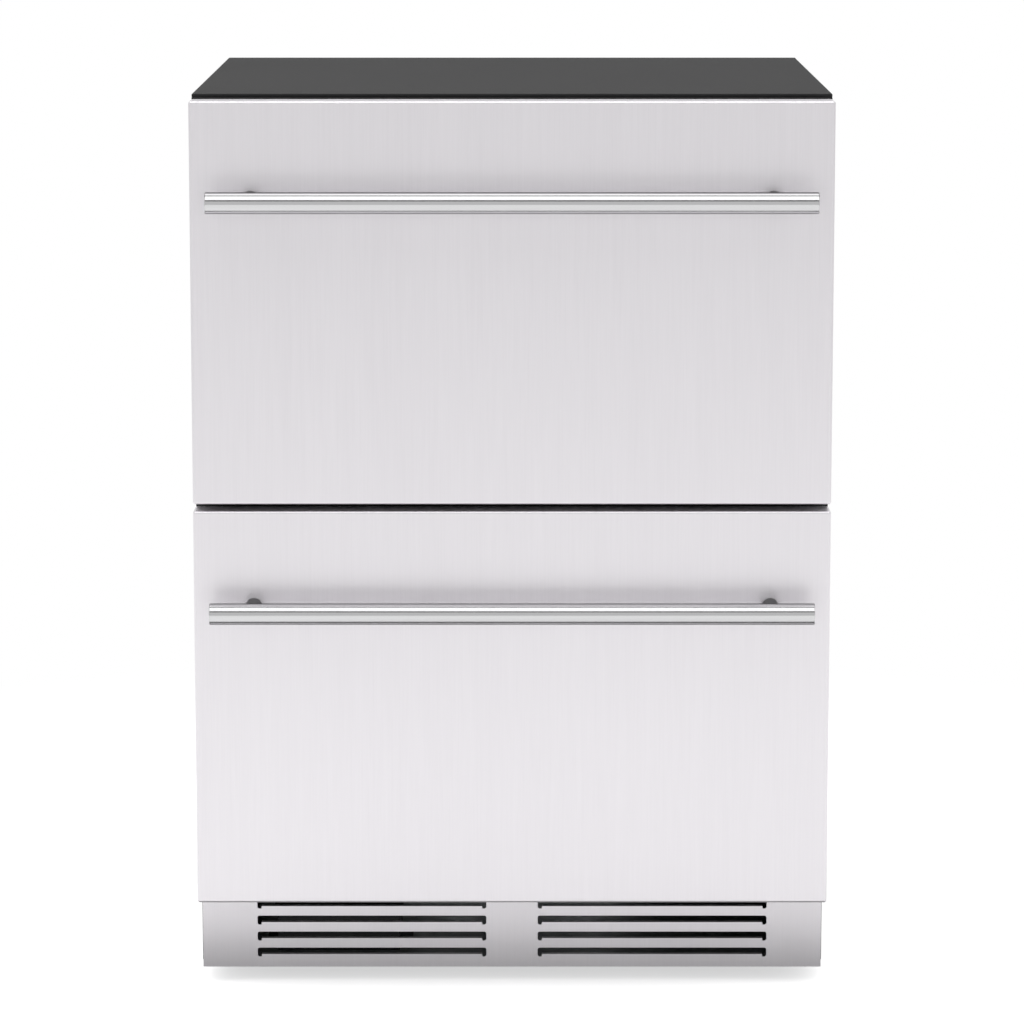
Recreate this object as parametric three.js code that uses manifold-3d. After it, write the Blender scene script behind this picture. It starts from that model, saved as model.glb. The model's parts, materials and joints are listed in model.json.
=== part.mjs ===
// Undercounter refrigerator with two drawers: a foamed sheet-steel cabinet, two stainless drawer fronts on
// ball-bearing slides, and a front-breathing machine bay at the lower rear.
//
// Millimetres. X runs to the right, Y runs back from the drawer fronts' outer face, Z runs up from the floor.
// The finished group is shifted along Y so that its origin lies on the floor, under the middle of the whole.

import * as THREE from 'three';
import { mergeVertices } from 'three/addons/utils/BufferGeometryUtils.js';
import Module from 'manifold-3d';

const wasm = await Module();
wasm.setup();

// ---------------------------------------------------------------------------------------------------------
// Driving dimensions

// Cabinet shell
const cabinetWidth = 605;
const cabinetHeight = 867;
const cabinetDepth = 560;
const sheet = 1; // painted and stainless sheet steel
const fit = 0.3; // clearance between pieces that touch
const topLip = 3; // height of the top panel's folded edge
const skirtLift = 20; // side panels' lower edge above the floor
const sideReturn = 13; // folded front edge of a side panel
const rearInset = 2; // rear panels ahead of the top panel's rear edge

// Insulated walls, measured from the cabinet's outside to the cavity
const sideWall = 43;
const roofWall = 44;
const rearWall = 47;
const floorWall = 40;
const linerWall = 2;
const linerFlange = 20; // how far the liner's front flange reaches past the cavity
const deckTop = 104; // upper face of the sheet floor under the insulation

// Machine bay at the lower rear
const bayDepth = 200;
const bayTop = 250;
const bayFoam = 35; // insulation between the bay and the cavity
const baySlotLength = 100;
const baySlotHeight = 4;
const baySlotPitch = 12;
const baySlotRows = 12;
const baySlotColumns = 3;
const baySlotBridge = 24; // metal left between two columns of slots
const baySlotMiddle = -53; // middle of the slotted field

// Front frame
const frameSheet = 1.2;
const frameReturn = 10; // inner flange around the two openings
const frameBottom = 100;
const mullionHeight = 64;
const mullionFlange = 25;

// Drawer fronts
const frontBottom = 93.5;
const topReveal = 4; // cabinet top above the upper front
const frontGap = 6.5;
const skinDepth = 33;
const skinLip = 12; // rear lip folded inward
const doorLinerWall = 3;
const doorLinerInset = 3.5; // from the front's edge to the door liner's edge
const plugReach = 14.7; // raised pan behind the door liner
const plugWall = 2.5;
const plugClearance = 8;
const gasketInset = 8;
const gasketWidth = 12;
const gasketDepth = 8;
const gasketBulb = 8; // width of the soft bulb on the gasket's base
const gasketBase = 3;

// Handles
const barDiameter = 20;
const barEndInset = 17.5; // from the front's side to the bar's end
const barReach = 40; // bar's axis in front of the drawer front
const barDrop = 91.5; // bar's axis below the front's upper edge
const standoffDiameter = 16;
const standoffInset = 39.5; // from the bar's end to a standoff's axis

// Slides: three rolled channels, one inside the other
const slideSetback = 14; // behind the cabinet's front
const slideRearClearance = 12; // ahead of the evaporator's cover
const slideWidth = 12.7;
const slideHeight = 45;
const slideSteel = 1.2;
const slideRunning = 0.5; // running clearance between channels, where the balls are
const middleWeb = 2.2; // distance from the wall to the middle channel
const outerFlange = 9;
const middleFlange = 10.5;
const innerFlange = 4; // where the inner channel's flanges end, from the wall

// Drawer frames and bins
const drawerRearClearance = 19.6; // from a drawer frame to the evaporator's cover
const railHeight = 60;
const railSteel = 1.5;
const railFlange = 6.5;
const frontFoot = 40; // width of the foot that a rail bolts to the door liner with
const upperRailRise = 35; // upper rails above the mullion
const stepClearance = 15; // lower rails and lower bin clear of the liner's step
const binWall = 2.5;
const binSideClearance = 1.2;
const binEndClearance = 1.4;
const binFloorClearance = 8;
const upperHeadroom = 23;
const lowerHeadroom = 16;
const binCorner = 14;
const shallowFloorClearance = 10; // lower bin's shelf above the liner's step
const dividerSheet = 2;
const dividerRunning = 0.5;
const dividerBarWidth = 10;
const dividerBarHeight = 3;

// Kick plate
const kickSetback = 8; // behind the cabinet's front
const kickBottom = 16;
const kickReturn = 12;
const slotInnerEnd = 25; // from the middle of the plate
const slotSideInset = 54.5; // from the cabinet's side
const slotHeight = 8.9;
const slotPitch = 16.05;
const firstSlot = 26.2; // lower edge of the lowest slot above the floor
const slotRows = 4;
const slotCorner = 2;
const slotLeg = 4; // open leg left at each end of a folded tab
const tabRise = 2.4; // fold line of a tab above its slot's lower edge

// Base pan and legs
const panSteel = 1.5;
const panFloor = 22; // underside above the floor
const panFlange = 38;
const panGapBehindKick = 0.3;
const cornerTab = 46;
const middleTab = 40;
const baffleLength = 345;
const bossDiameter = 22;
const bossHeight = 23;
const stemDiameter = 10;
const stemClearance = 0.3;
const stemTop = 60;
const footDiameter = 30;
const footHeight = 10;
const legInset = 32.5; // from the cabinet's side to a leg's axis
const frontLegSetback = 100;
const rearLegSetback = 40;

// Evaporator compartment
const coverDepth = 57;
const coverWall = 2;
const coilBelowFan = 190; // from the fan's axis to the coil's middle
const coilEndSpace = 28; // from a fin stack's end to the line beside it
const coilPasses = 5;
const coilPitch = 36;
const coilThickness = 36;
const coilTube = 9.5;
const coilFins = 7;
const fanBelowCeiling = 123;
const fanFrame = 120;
const fanDepth = 25;
const fanSweep = 110;
const fanHub = 42;
const fanMotorDepth = 10;
const fanBlades = 7;
const fanChord = 30;
const grilleSlot = 5;
const grillePitch = 12;
const grilleRows = 9;
const returnSlots = 14;
const returnSlotHeight = 70;
const returnSlotPitch = 30;
const returnSlotRise = 58; // middle of the return slots above the liner's step

// Drain
const drainX = -20;
const drainDiameter = 16;
const drainBore = 11;
const drainEnd = 40;

// Machine bay equipment
const compressorInset = 122.5; // from the cabinet's right side to the compressor's axis
const compressorDiameter = 130;
const compressorHeight = 158;
const compressorPlate = [150, 120, 3];
const compressorFoot = [6, 10]; // chamfer under the can, across and up
const compressorDome = [[0, 45], [8, 22], [26, 6]]; // inward from the can's side, down from its top
const terminalBox = [44, 52]; // width and height
const terminalBoxReach = 18; // ahead of the can
const terminalBoxRoot = 12; // how far it runs back into the can's side
const grommetHeight = 6;
const grommetDiameter = 18;
const stubTop = 180;
const stubLength = 73;
const stubDiameter = 13;
const suctionStub = [33, 25]; // from the compressor's axis
const dischargeStub = [-38, -25];
const condenserInset = 132.5; // from the cabinet's left side to the condenser's middle
const condenserRun = 116;
const condenserPasses = 7;
const condenserPitch = 24;
const condenserThickness = 40;
const condenserTube = 6.4;
const condenserFins = 5;
const condenserLevel = 125;
const dischargeLevel = 232;
const shroudOffset = 30; // from the condenser's middle to the shroud
const shroudDepth = 30;
const shroudHeight = 190;
const shroudWidth = 165;
const condenserSweep = 150;
const condenserHub = 57;
const condenserMotorDepth = 12;
const condenserBlades = 5;
const condenserChord = 42;
const drierInset = 52.5; // from the cabinet's left side
const drierDiameter = 19;
const drierLength = 95;
const capillaryDiameter = 5;
const capillaryTop = 330;
const trayLeftClearance = 5; // from the fan's shroud
const trayRightClearance = 35; // from the compressor's plate
const trayLength = 150;
const trayHeight = 26;
const trayWall = 2;
const controlBoxSize = [120, 100, 46];
const controlBoxLid = 3; // the lid's overlap and its wall
const controlBoxRim = 9; // height of the lid's edge
const controlBoxFoot = [12, 24]; // reach and length of its two feet
const controlBoxSetback = 42;
const glandInset = 87.5; // from the cabinet's right side to where the mains lead enters
const glandLevel = 71;
const glandDiameter = 22;
const glandLength = 25;
const glandProud = 1.5; // outside the cover
const glandCollar = 30;
const glandCollarDepth = 3;

// Control panel under the cavity's ceiling
const panelWidth = 240;
const panelDepth = 40;
const panelHeight = 10;
const panelChamfer = 6;

// Fans and finned coils
const shaftDiameter = 5;
const strutWidth = 6;
const strutThickness = 3;
const strutCount = 3;
const bladeSheet = 1.6;
const bladePitch = Math.PI / 9;
const tipClearance = 2.5;
const rotorClearance = 0.6; // between a rotor's hub and its motor
const finSheet = 1;
const bendStraight = 1; // left between the two quarter bends that join two passes
const coilOverrun = 3; // straight tube outside an end plate

// Sides given to round pieces
const thinRound = 12;
const mediumRound = 16;
const standoffRound = 20;
const canRound = 24;
const barRound = 32;
const sweepRound = 40;

// ---------------------------------------------------------------------------------------------------------
// Derived sizes

const halfWidth = cabinetWidth / 2;
const frontHeight = (cabinetHeight - topReveal - frontGap - frontBottom) / 2;
const doorLinerFront = skinDepth + fit;
const gasketFront = doorLinerFront + doorLinerWall + fit;
const cabinetFront = gasketFront + gasketDepth + fit;
const cabinetRear = cabinetFront + cabinetDepth;
const rearFace = cabinetRear - rearInset;
const barLength = cabinetWidth - 2 * barEndInset;
const standoffSpacing = barLength - 2 * standoffInset;
const handleProjection = barReach + barDiameter / 2;
const overallDepth = cabinetRear + handleProjection;

const innerHalf = halfWidth - sheet - fit; // between the side panels
const shellTop = cabinetHeight - topLip - fit; // upper edge of sides, rear and front frame
const behindFrame = cabinetFront + frameSheet + fit;
const aheadOfRear = rearFace - sheet - fit;

const cavityHalf = halfWidth - sideWall;
const cavityFloor = deckTop + floorWall;
const cavityCeiling = cabinetHeight - roofWall;
const cavityBack = cabinetRear - rearWall;
const bayFront = cabinetRear - bayDepth;
const stepFront = bayFront - bayFoam - linerWall;
const stepTop = bayTop + bayFoam + linerWall;

const mullionLevel = frontBottom + frontHeight + frontGap / 2;
const mullionBottom = mullionLevel - mullionHeight / 2;
const mullionTop = mullionLevel + mullionHeight / 2;
const openingHalf = cavityHalf - fit - frameSheet;
const openingBottom = cavityFloor + fit + frameSheet;
const openingTop = cavityCeiling - fit - frameSheet;

const plugBack = doorLinerFront + doorLinerWall + plugReach;
const slideWall = cavityHalf - fit;
const slideFront = cabinetFront + slideSetback;
const railOuter = slideWall - slideWidth - fit;
const railInner = railOuter - railSteel;
const frameFront = plugBack + fit;

const deckUnderside = deckTop - sheet;
const kickFront = cabinetFront + kickSetback;
const kickTop = deckUnderside - fit;
const tabReach = slotHeight - tabRise;
const panFront = kickFront + sheet + panGapBehindKick;
const panTop = panFloor + panSteel;
const onPan = panTop + fit; // where equipment stands

const bayMiddle = bayFront + bayDepth / 2;
const coverFront = cavityBack - coverDepth;
const frameBack = coverFront - drawerRearClearance;
const slideLength = coverFront - slideRearClearance - slideFront;
const coilY = coverFront + coverDepth / 2;
const fanLevel = cavityCeiling - fanBelowCeiling;
const coilLevel = fanLevel - coilBelowFan;
const returnSlotLevel = stepTop + returnSlotRise;
const compressorX = halfWidth - compressorInset;
const compressorY = bayMiddle;
const suctionX = compressorX + suctionStub[0]; // the capillary is as far to the left
const suctionY = compressorY + suctionStub[1];
const coilRun = 2 * (suctionX - coilEndSpace);
const condenserX = condenserInset - halfWidth;
const shroudX = condenserX + shroudOffset;
const drierX = drierInset - halfWidth;
const trayLeft = shroudX + shroudDepth + trayLeftClearance;
const trayRight = compressorX - compressorPlate[0] / 2 - trayRightClearance;
const glandX = halfWidth - glandInset;
const shroudLevel = onPan + shroudHeight / 2;

// ---------------------------------------------------------------------------------------------------------
// Geometry helpers

function block([x0, x1], [y0, y1], [z0, z1]) {
  const geometry = new THREE.BoxGeometry(x1 - x0, y1 - y0, z1 - z0);
  return geometry.translate((x0 + x1) / 2, (y0 + y1) / 2, (z0 + z1) / 2);
}

function rod(radius, [z0, z1], segments, x = 0, y = 0) {
  const geometry = new THREE.CylinderGeometry(radius, radius, z1 - z0, segments);
  return geometry.rotateX(Math.PI / 2).translate(x, y, (z0 + z1) / 2);
}

function outline(points) {
  return new THREE.Shape(points.map(([x, y]) => new THREE.Vector2(x, y)));
}

function extrude(shape, depth, curveSegments = 3) {
  return new THREE.ExtrudeGeometry(shape, { depth, curveSegments, bevelEnabled: false });
}

// A shape drawn in X and Z, run along Y.
function alongY(shape, [y0, y1], curveSegments) {
  return extrude(shape, y1 - y0, curveSegments).rotateX(Math.PI / 2).translate(0, y1, 0);
}

// A shape drawn in Y and Z, run along X.
function alongX(shape, [x0, x1]) {
  return extrude(shape, x1 - x0).rotateX(Math.PI / 2).rotateZ(Math.PI / 2).translate(x0, 0, 0);
}

function roundedRectangle([x0, x1], [y0, y1], radius) {
  const shape = new THREE.Shape();
  shape.absarc(x1 - radius, y0 + radius, radius, -Math.PI / 2, 0);
  shape.absarc(x1 - radius, y1 - radius, radius, 0, Math.PI / 2);
  shape.absarc(x0 + radius, y1 - radius, radius, Math.PI / 2, Math.PI);
  shape.absarc(x0 + radius, y0 + radius, radius, Math.PI, 1.5 * Math.PI);
  shape.closePath();
  return shape;
}

// A box with its four upright edges rounded.
function roundedBlock(xRange, yRange, [z0, z1], radius) {
  return extrude(roundedRectangle(xRange, yRange, radius), z1 - z0).translate(0, 0, z0);
}

// A pipe's route: straight runs between corners, each corner rounded by an arc. One step per straight run.
class PipeRoute extends THREE.Curve {
  constructor(corners, bendRadius, bendSteps) {
    super();
    this.stations = [corners[0]];
    corners.slice(1, -1).forEach((corner, i) => {
      this.addBend(corners[i], corner, corners[i + 2], bendRadius, bendSteps);
    });
    this.stations.push(corners[corners.length - 1]);
  }

  addBend(before, corner, after, radius, steps) {
    const arriving = corner.clone().sub(before).normalize();
    const leaving = after.clone().sub(corner).normalize();
    const turn = arriving.angleTo(leaving);
    const start = corner.clone().addScaledVector(arriving, -radius * Math.tan(turn / 2));
    const inward = leaving.clone().addScaledVector(arriving, -Math.cos(turn)).normalize();
    for (let step = 0; step <= steps; step += 1) {
      const angle = (turn * step) / steps;
      const station = start.clone().addScaledVector(arriving, radius * Math.sin(angle));
      this.stations.push(station.addScaledVector(inward, radius * (1 - Math.cos(angle))));
    }
  }

  getUtoTmapping(u) {
    return u;
  }

  getPoint(t, target = new THREE.Vector3()) {
    const place = t * (this.stations.length - 1);
    const index = Math.min(Math.floor(place), this.stations.length - 2);
    return target.lerpVectors(this.stations[index], this.stations[index + 1], place - index);
  }
}

function pipe(corners, diameter, bendRadius, sides = 6, bendSteps = 3) {
  const route = new PipeRoute(corners.map((corner) => new THREE.Vector3(...corner)), bendRadius, bendSteps);
  const section = outline(Array.from({ length: sides }, (_, i) => {
    const angle = (2 * Math.PI * i) / sides;
    return [(diameter / 2) * Math.cos(angle), (diameter / 2) * Math.sin(angle)];
  }));
  const steps = route.stations.length - 1;
  return new THREE.ExtrudeGeometry(section, { steps, extrudePath: route, bevelEnabled: false });
}

// A closed profile of [radius, height] pairs turned about Z.
function turned(profile, segments) {
  const points = profile.map(([radius, height]) => new THREE.Vector2(radius, height));
  return new THREE.LatheGeometry(points, segments).rotateX(Math.PI / 2);
}

const faceTolerance = 0.002; // edges shorter than this are leftovers of flush faces

// Coordinates are rounded to a thousandth of a millimetre, so that faces meant to be flush are flush.
function solid(shape) {
  if (!(shape instanceof THREE.BufferGeometry)) {
    return shape;
  }
  const bare = shape.clone();
  bare.deleteAttribute('normal');
  bare.deleteAttribute('uv');
  bare.attributes.position.array.forEach((value, i, values) => {
    values[i] = Math.round(value * 1000) / 1000;
  });
  const merged = mergeVertices(bare, 1e-3);
  const vertProperties = new Float32Array(merged.attributes.position.array);
  const triVerts = new Uint32Array(merged.index.array);
  return new wasm.Manifold(new wasm.Mesh({ numProp: 3, vertProperties, triVerts }));
}

function join(...shapes) {
  return shapes.map(solid).reduce((whole, next) => whole.add(next));
}

function cut(shape, ...tools) {
  return tools.map(solid).reduce((rest, tool) => rest.subtract(tool), solid(shape));
}

function keepInside(shape, boundary) {
  return solid(shape).intersect(solid(boundary));
}

function piece(name, shape, finish) {
  const { vertProperties, triVerts } = solid(shape).asOriginal().simplify(faceTolerance).getMesh();
  const geometry = new THREE.BufferGeometry();
  geometry.setAttribute('position', new THREE.BufferAttribute(vertProperties, 3));
  geometry.setIndex(new THREE.BufferAttribute(triVerts, 1));
  geometry.computeVertexNormals();
  const mesh = new THREE.Mesh(geometry, new THREE.MeshStandardMaterial(finish));
  mesh.name = name;
  return mesh;
}

function groupOf(...children) {
  const group = new THREE.Group();
  group.add(...children.flat());
  return group;
}

// The span between two values given in either order.
const between = (a, b) => [Math.min(a, b), Math.max(a, b)];
const range = (count) => Array.from({ length: count }, (_, i) => i);
const sides = [['left', -1], ['right', 1]];

// ---------------------------------------------------------------------------------------------------------
// Finishes

const brushedSteel = { color: 0xd6d5d7, roughness: 0.38, metalness: 1 };
const satinSteel = { color: 0xc9cacd, roughness: 0.22, metalness: 1 };
const paintedSteel = { color: 0x545658, roughness: 0.5, metalness: 0.2 };
const galvanisedSteel = { color: 0x9ea3a6, roughness: 0.45, metalness: 0.9 };
const zincSteel = { color: 0xb4b8bb, roughness: 0.3, metalness: 1 };
const blackPaint = { color: 0x141516, roughness: 0.5, metalness: 0.3 };
const copper = { color: 0xb66a44, roughness: 0.35, metalness: 1 };
const aluminium = { color: 0xc4c7c9, roughness: 0.35, metalness: 1 };
const whitePlastic = { color: 0xe6e8e8, roughness: 0.45, metalness: 0 };
const clearPlastic = { color: 0xdfe6e8, roughness: 0.12, metalness: 0 };
const greyRubber = { color: 0x4a4b4d, roughness: 0.8, metalness: 0 };
const blackPlastic = { color: 0x1c1d1f, roughness: 0.55, metalness: 0 };
const foam = { color: 0xe3d7b4, roughness: 0.95, metalness: 0 };

// ---------------------------------------------------------------------------------------------------------
// Cabinet shell

function topPanel() {
  const pan = block(
    [-halfWidth, halfWidth],
    [cabinetFront, cabinetRear],
    [cabinetHeight - topLip, cabinetHeight],
  );
  const hollow = block(
    [-halfWidth + sheet, halfWidth - sheet],
    [cabinetFront + sheet, cabinetRear - sheet],
    [cabinetHeight - topLip - sheet, cabinetHeight - sheet],
  );
  return piece('top_panel', cut(pan, hollow), paintedSteel);
}

// A flat sheet whose front edge is folded inward behind the front frame, notched at the kick plate. Left and
// right are mirror images.
function sidePanel(name, side) {
  const outer = side * halfWidth;
  const wall = between(outer, side * (halfWidth - sheet));
  const folded = side * (halfWidth - sideReturn);
  const skirtFront = kickFront + kickReturn + fit;
  return piece(
    name,
    join(
      block(wall, [cabinetFront, aheadOfRear], [frameBottom, shellTop]),
      block(wall, [skirtFront, aheadOfRear], [skirtLift, frameBottom + sheet]),
      block(between(outer, folded), [behindFrame, behindFrame + sheet], [frameBottom, shellTop]),
    ),
    paintedSteel,
  );
}

function rearPanel() {
  const whole = block([-halfWidth, halfWidth], [rearFace - sheet, rearFace], [bayTop, shellTop]);
  return piece('rear_panel', whole, galvanisedSteel);
}

function machineBayCover() {
  const plate = block([-halfWidth, halfWidth], [rearFace - sheet, rearFace], [panFloor, bayTop - fit]);
  const firstRow = (panFloor + bayTop - (baySlotRows - 1) * baySlotPitch) / 2;
  const firstColumn = baySlotMiddle - ((baySlotColumns - 1) * (baySlotLength + baySlotBridge)) / 2;
  const throughPlate = [rearFace - 2 * sheet, rearFace + sheet];
  const slots = range(baySlotColumns).flatMap((column) => range(baySlotRows).map((row) => {
    const x = firstColumn + column * (baySlotLength + baySlotBridge);
    const z = firstRow + row * baySlotPitch;
    return block([x - baySlotLength / 2, x + baySlotLength / 2], throughPlate, [z, z + baySlotHeight]);
  }));
  const glandHole = rod(glandDiameter / 2 + fit, [-2 * sheet, sheet], mediumRound).rotateX(-Math.PI / 2);
  glandHole.translate(glandX, rearFace, glandLevel);
  return piece('machine_bay_cover', cut(plate, ...slots, glandHole), galvanisedSteel);
}

function basePan() {
  const floor = block([-innerHalf, innerHalf], [panFront, aheadOfRear], [panFloor, panTop]);
  const upright = [panFloor, kickTop];
  const tabDepth = [panFront, panFront + panSteel];
  const flanges = sides.map(([, side]) => block(
    between(side * innerHalf, side * (innerHalf - panSteel)),
    [panFront, aheadOfRear],
    [panFloor, panFloor + panFlange],
  ));
  const tabs = sides.map(([, side]) => (
    block(between(side * innerHalf, side * (innerHalf - cornerTab)), tabDepth, upright)
  ));
  const frontTab = block([-middleTab / 2, middleTab / 2], tabDepth, upright);
  const baffle = block([-panSteel / 2, panSteel / 2], [panFront, panFront + baffleLength], upright);
  const bosses = legPlaces().map(({ x, y }) => (
    rod(bossDiameter / 2, [panFloor, panFloor + bossHeight], mediumRound, x, y)
  ));
  const boreRadius = stemDiameter / 2 + stemClearance;
  const bores = legPlaces().map(({ x, y }) => rod(boreRadius, [0, deckTop], thinRound, x, y));
  const pan = join(floor, ...flanges, ...tabs, frontTab, baffle, ...bosses);
  return piece('base_pan', cut(pan, ...bores), galvanisedSteel);
}

function legPlaces() {
  const rows = [['front', cabinetFront + frontLegSetback], ['rear', cabinetRear - rearLegSetback]];
  return rows.flatMap(([end, y]) => sides.map(([hand, side]) => (
    { name: `${end}_${hand}_leg`, x: side * (halfWidth - legInset), y }
  )));
}

function legs() {
  return legPlaces().map(({ name, x, y }) => {
    const foot = rod(footDiameter / 2, [0, footHeight], thinRound);
    const stem = rod(stemDiameter / 2, [footHeight / 2, stemTop], thinRound);
    const leg = piece(name, join(foot, stem), zincSteel);
    leg.position.set(x, y, 0);
    return leg;
  });
}

// The sheet under the insulation: from the front it runs back, climbs over the machine bay, and goes on
// to the rear.
function cabinetFloor() {
  const front = behindFrame + sheet + fit;
  const profile = outline([
    [front, deckUnderside],
    [bayFront, deckUnderside],
    [bayFront, bayTop - sheet],
    [aheadOfRear, bayTop - sheet],
    [aheadOfRear, bayTop],
    [bayFront - sheet, bayTop],
    [bayFront - sheet, deckTop],
    [front, deckTop],
  ]);
  const holes = throughHoles([bayTop - 2 * sheet, bayTop + sheet], fit + sheet);
  return piece('cabinet_floor', cut(alongX(profile, [-innerHalf, innerHalf]), ...holes), galvanisedSteel);
}

// Where the suction line, the capillary and the drain pass through the wall over the machine bay.
function throughHoles(zRange, clearance) {
  return [
    rod(coilTube / 2 + clearance, zRange, thinRound, suctionX, suctionY),
    rod(coilTube / 2 + clearance, zRange, thinRound, -suctionX, suctionY),
    rod(drainDiameter / 2 + clearance, zRange, thinRound, drainX, suctionY),
  ];
}

// The liner's outline in Y and Z, grown outward by an allowance and opened at the front.
function linerOutline(front, grow) {
  return outline([
    [front, cavityFloor - grow],
    [stepFront + grow, cavityFloor - grow],
    [stepFront + grow, stepTop - grow],
    [cavityBack + grow, stepTop - grow],
    [cavityBack + grow, cavityCeiling + grow],
    [front, cavityCeiling + grow],
  ]);
}

function linerFlangeBlock(grow) {
  const reach = linerFlange + linerWall + grow;
  return block(
    [-cavityHalf - reach, cavityHalf + reach],
    [behindFrame, behindFrame + linerWall + grow],
    [cavityFloor - reach, cavityCeiling + reach],
  );
}

function innerLiner() {
  const outerHalf = cavityHalf + linerWall;
  const shell = alongX(linerOutline(behindFrame, linerWall), [-outerHalf, outerHalf]);
  const hollow = alongX(linerOutline(behindFrame - linerWall, 0), [-cavityHalf, cavityHalf]);
  const spout = rod(drainDiameter / 2, [drainEnd, stepTop - linerWall / 2], thinRound, drainX, suctionY);
  const spoutBore = rod(drainBore / 2, [0, stepTop + linerWall], thinRound, drainX, suctionY);
  const lineHoles = throughHoles([stepTop - 2 * linerWall, stepTop + linerWall], fit + sheet).slice(0, 2);
  const body = cut(join(shell, linerFlangeBlock(0)), hollow);
  return piece('inner_liner', cut(join(body, spout), spoutBore, ...lineHoles), whitePlastic);
}

function cabinetInsulation() {
  const profile = outline([
    [behindFrame, deckTop + fit],
    [bayFront - sheet - fit, deckTop + fit],
    [bayFront - sheet - fit, bayTop + fit],
    [aheadOfRear, bayTop + fit],
    [aheadOfRear, cabinetHeight - sheet - fit],
    [behindFrame, cabinetHeight - sheet - fit],
  ]);
  const filling = alongX(profile, [-innerHalf, innerHalf]);
  const linerSpace = alongX(
    linerOutline(behindFrame - fit, linerWall + fit),
    [-cavityHalf - linerWall - fit, cavityHalf + linerWall + fit],
  );
  const sideFlanges = sides.map(([, side]) => block(
    between(side * (halfWidth - sideReturn - fit), side * halfWidth),
    [behindFrame - fit, behindFrame + sheet + fit],
    [deckUnderside, cabinetHeight],
  ));
  const deckEdge = block(
    [-innerHalf, innerHalf],
    [behindFrame - fit, behindFrame + sheet],
    [deckTop, deckTop + fit],
  );
  const lineHoles = throughHoles([bayTop, stepTop], 2 * fit);
  const tools = [linerSpace, linerFlangeBlock(fit), deckEdge, ...sideFlanges, ...lineHoles];
  return piece('cabinet_insulation', cut(filling, ...tools), foam);
}

function frontFrame() {
  const plate = block(
    [-innerHalf, innerHalf],
    [cabinetFront, cabinetFront + frameSheet],
    [frameBottom, shellTop],
  );
  const openings = [[openingBottom, mullionBottom], [mullionTop, openingTop]];
  const through = [cabinetFront - fit, cabinetFront + mullionFlange + fit];
  const windows = openings.map((zRange) => block([-openingHalf, openingHalf], through, zRange));
  const rim = block(
    [-openingHalf - frameSheet, openingHalf + frameSheet],
    [cabinetFront, cabinetFront + frameReturn],
    [openingBottom - frameSheet, openingTop + frameSheet],
  );
  const mullion = block(
    [-openingHalf - frameSheet, openingHalf + frameSheet],
    [cabinetFront, cabinetFront + mullionFlange],
    [mullionBottom, mullionTop],
  );
  const mullionHollow = block(
    [-openingHalf - 2 * frameSheet, openingHalf + 2 * frameSheet],
    [cabinetFront + frameSheet, through[1]],
    [mullionBottom + frameSheet, mullionTop - frameSheet],
  );
  const folded = cut(join(rim, mullion), mullionHollow);
  return piece('front_frame', cut(join(plate, folded), ...windows), blackPaint);
}

function kickPlate() {
  const plate = block([-innerHalf, innerHalf], [kickFront, kickFront + sheet], [kickBottom, kickTop]);
  const lowerFold = block(
    [-innerHalf, innerHalf],
    [kickFront, kickFront + kickReturn],
    [kickBottom, kickBottom + sheet],
  );
  const through = [kickFront - sheet, kickFront + 2 * sheet];
  const slots = [];
  const tabs = [];
  sides.forEach(([, side]) => range(slotRows).forEach((row) => {
    const z = firstSlot + row * slotPitch;
    const ends = between(side * slotInnerEnd, side * (halfWidth - slotSideInset));
    slots.push(alongY(roundedRectangle(ends, [z, z + slotHeight], slotCorner), through));
    const tabEnds = [ends[0] + slotLeg, ends[1] - slotLeg];
    const foldLine = z + tabRise;
    tabs.push(block(tabEnds, [kickFront, kickFront + sheet], [z - sheet, foldLine]));
    tabs.push(block(tabEnds, [kickFront, kickFront + tabReach], [foldLine - sheet, foldLine]));
  }));
  return piece('kick_plate', join(cut(join(plate, lowerFold), ...slots), ...tabs), brushedSteel);
}

function controlPanel() {
  const front = cabinetFront + frameReturn + fit;
  const top = cavityCeiling - fit;
  const profile = outline([
    [front, top - panelHeight + panelChamfer],
    [front + panelChamfer, top - panelHeight],
    [front + panelDepth, top - panelHeight],
    [front + panelDepth, top],
    [front, top],
  ]);
  return piece('control_panel', alongX(profile, [-panelWidth / 2, panelWidth / 2]), blackPlastic);
}

// ---------------------------------------------------------------------------------------------------------
// Fans: an axial fan built around its own Z axis, air leaving towards +Z

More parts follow.
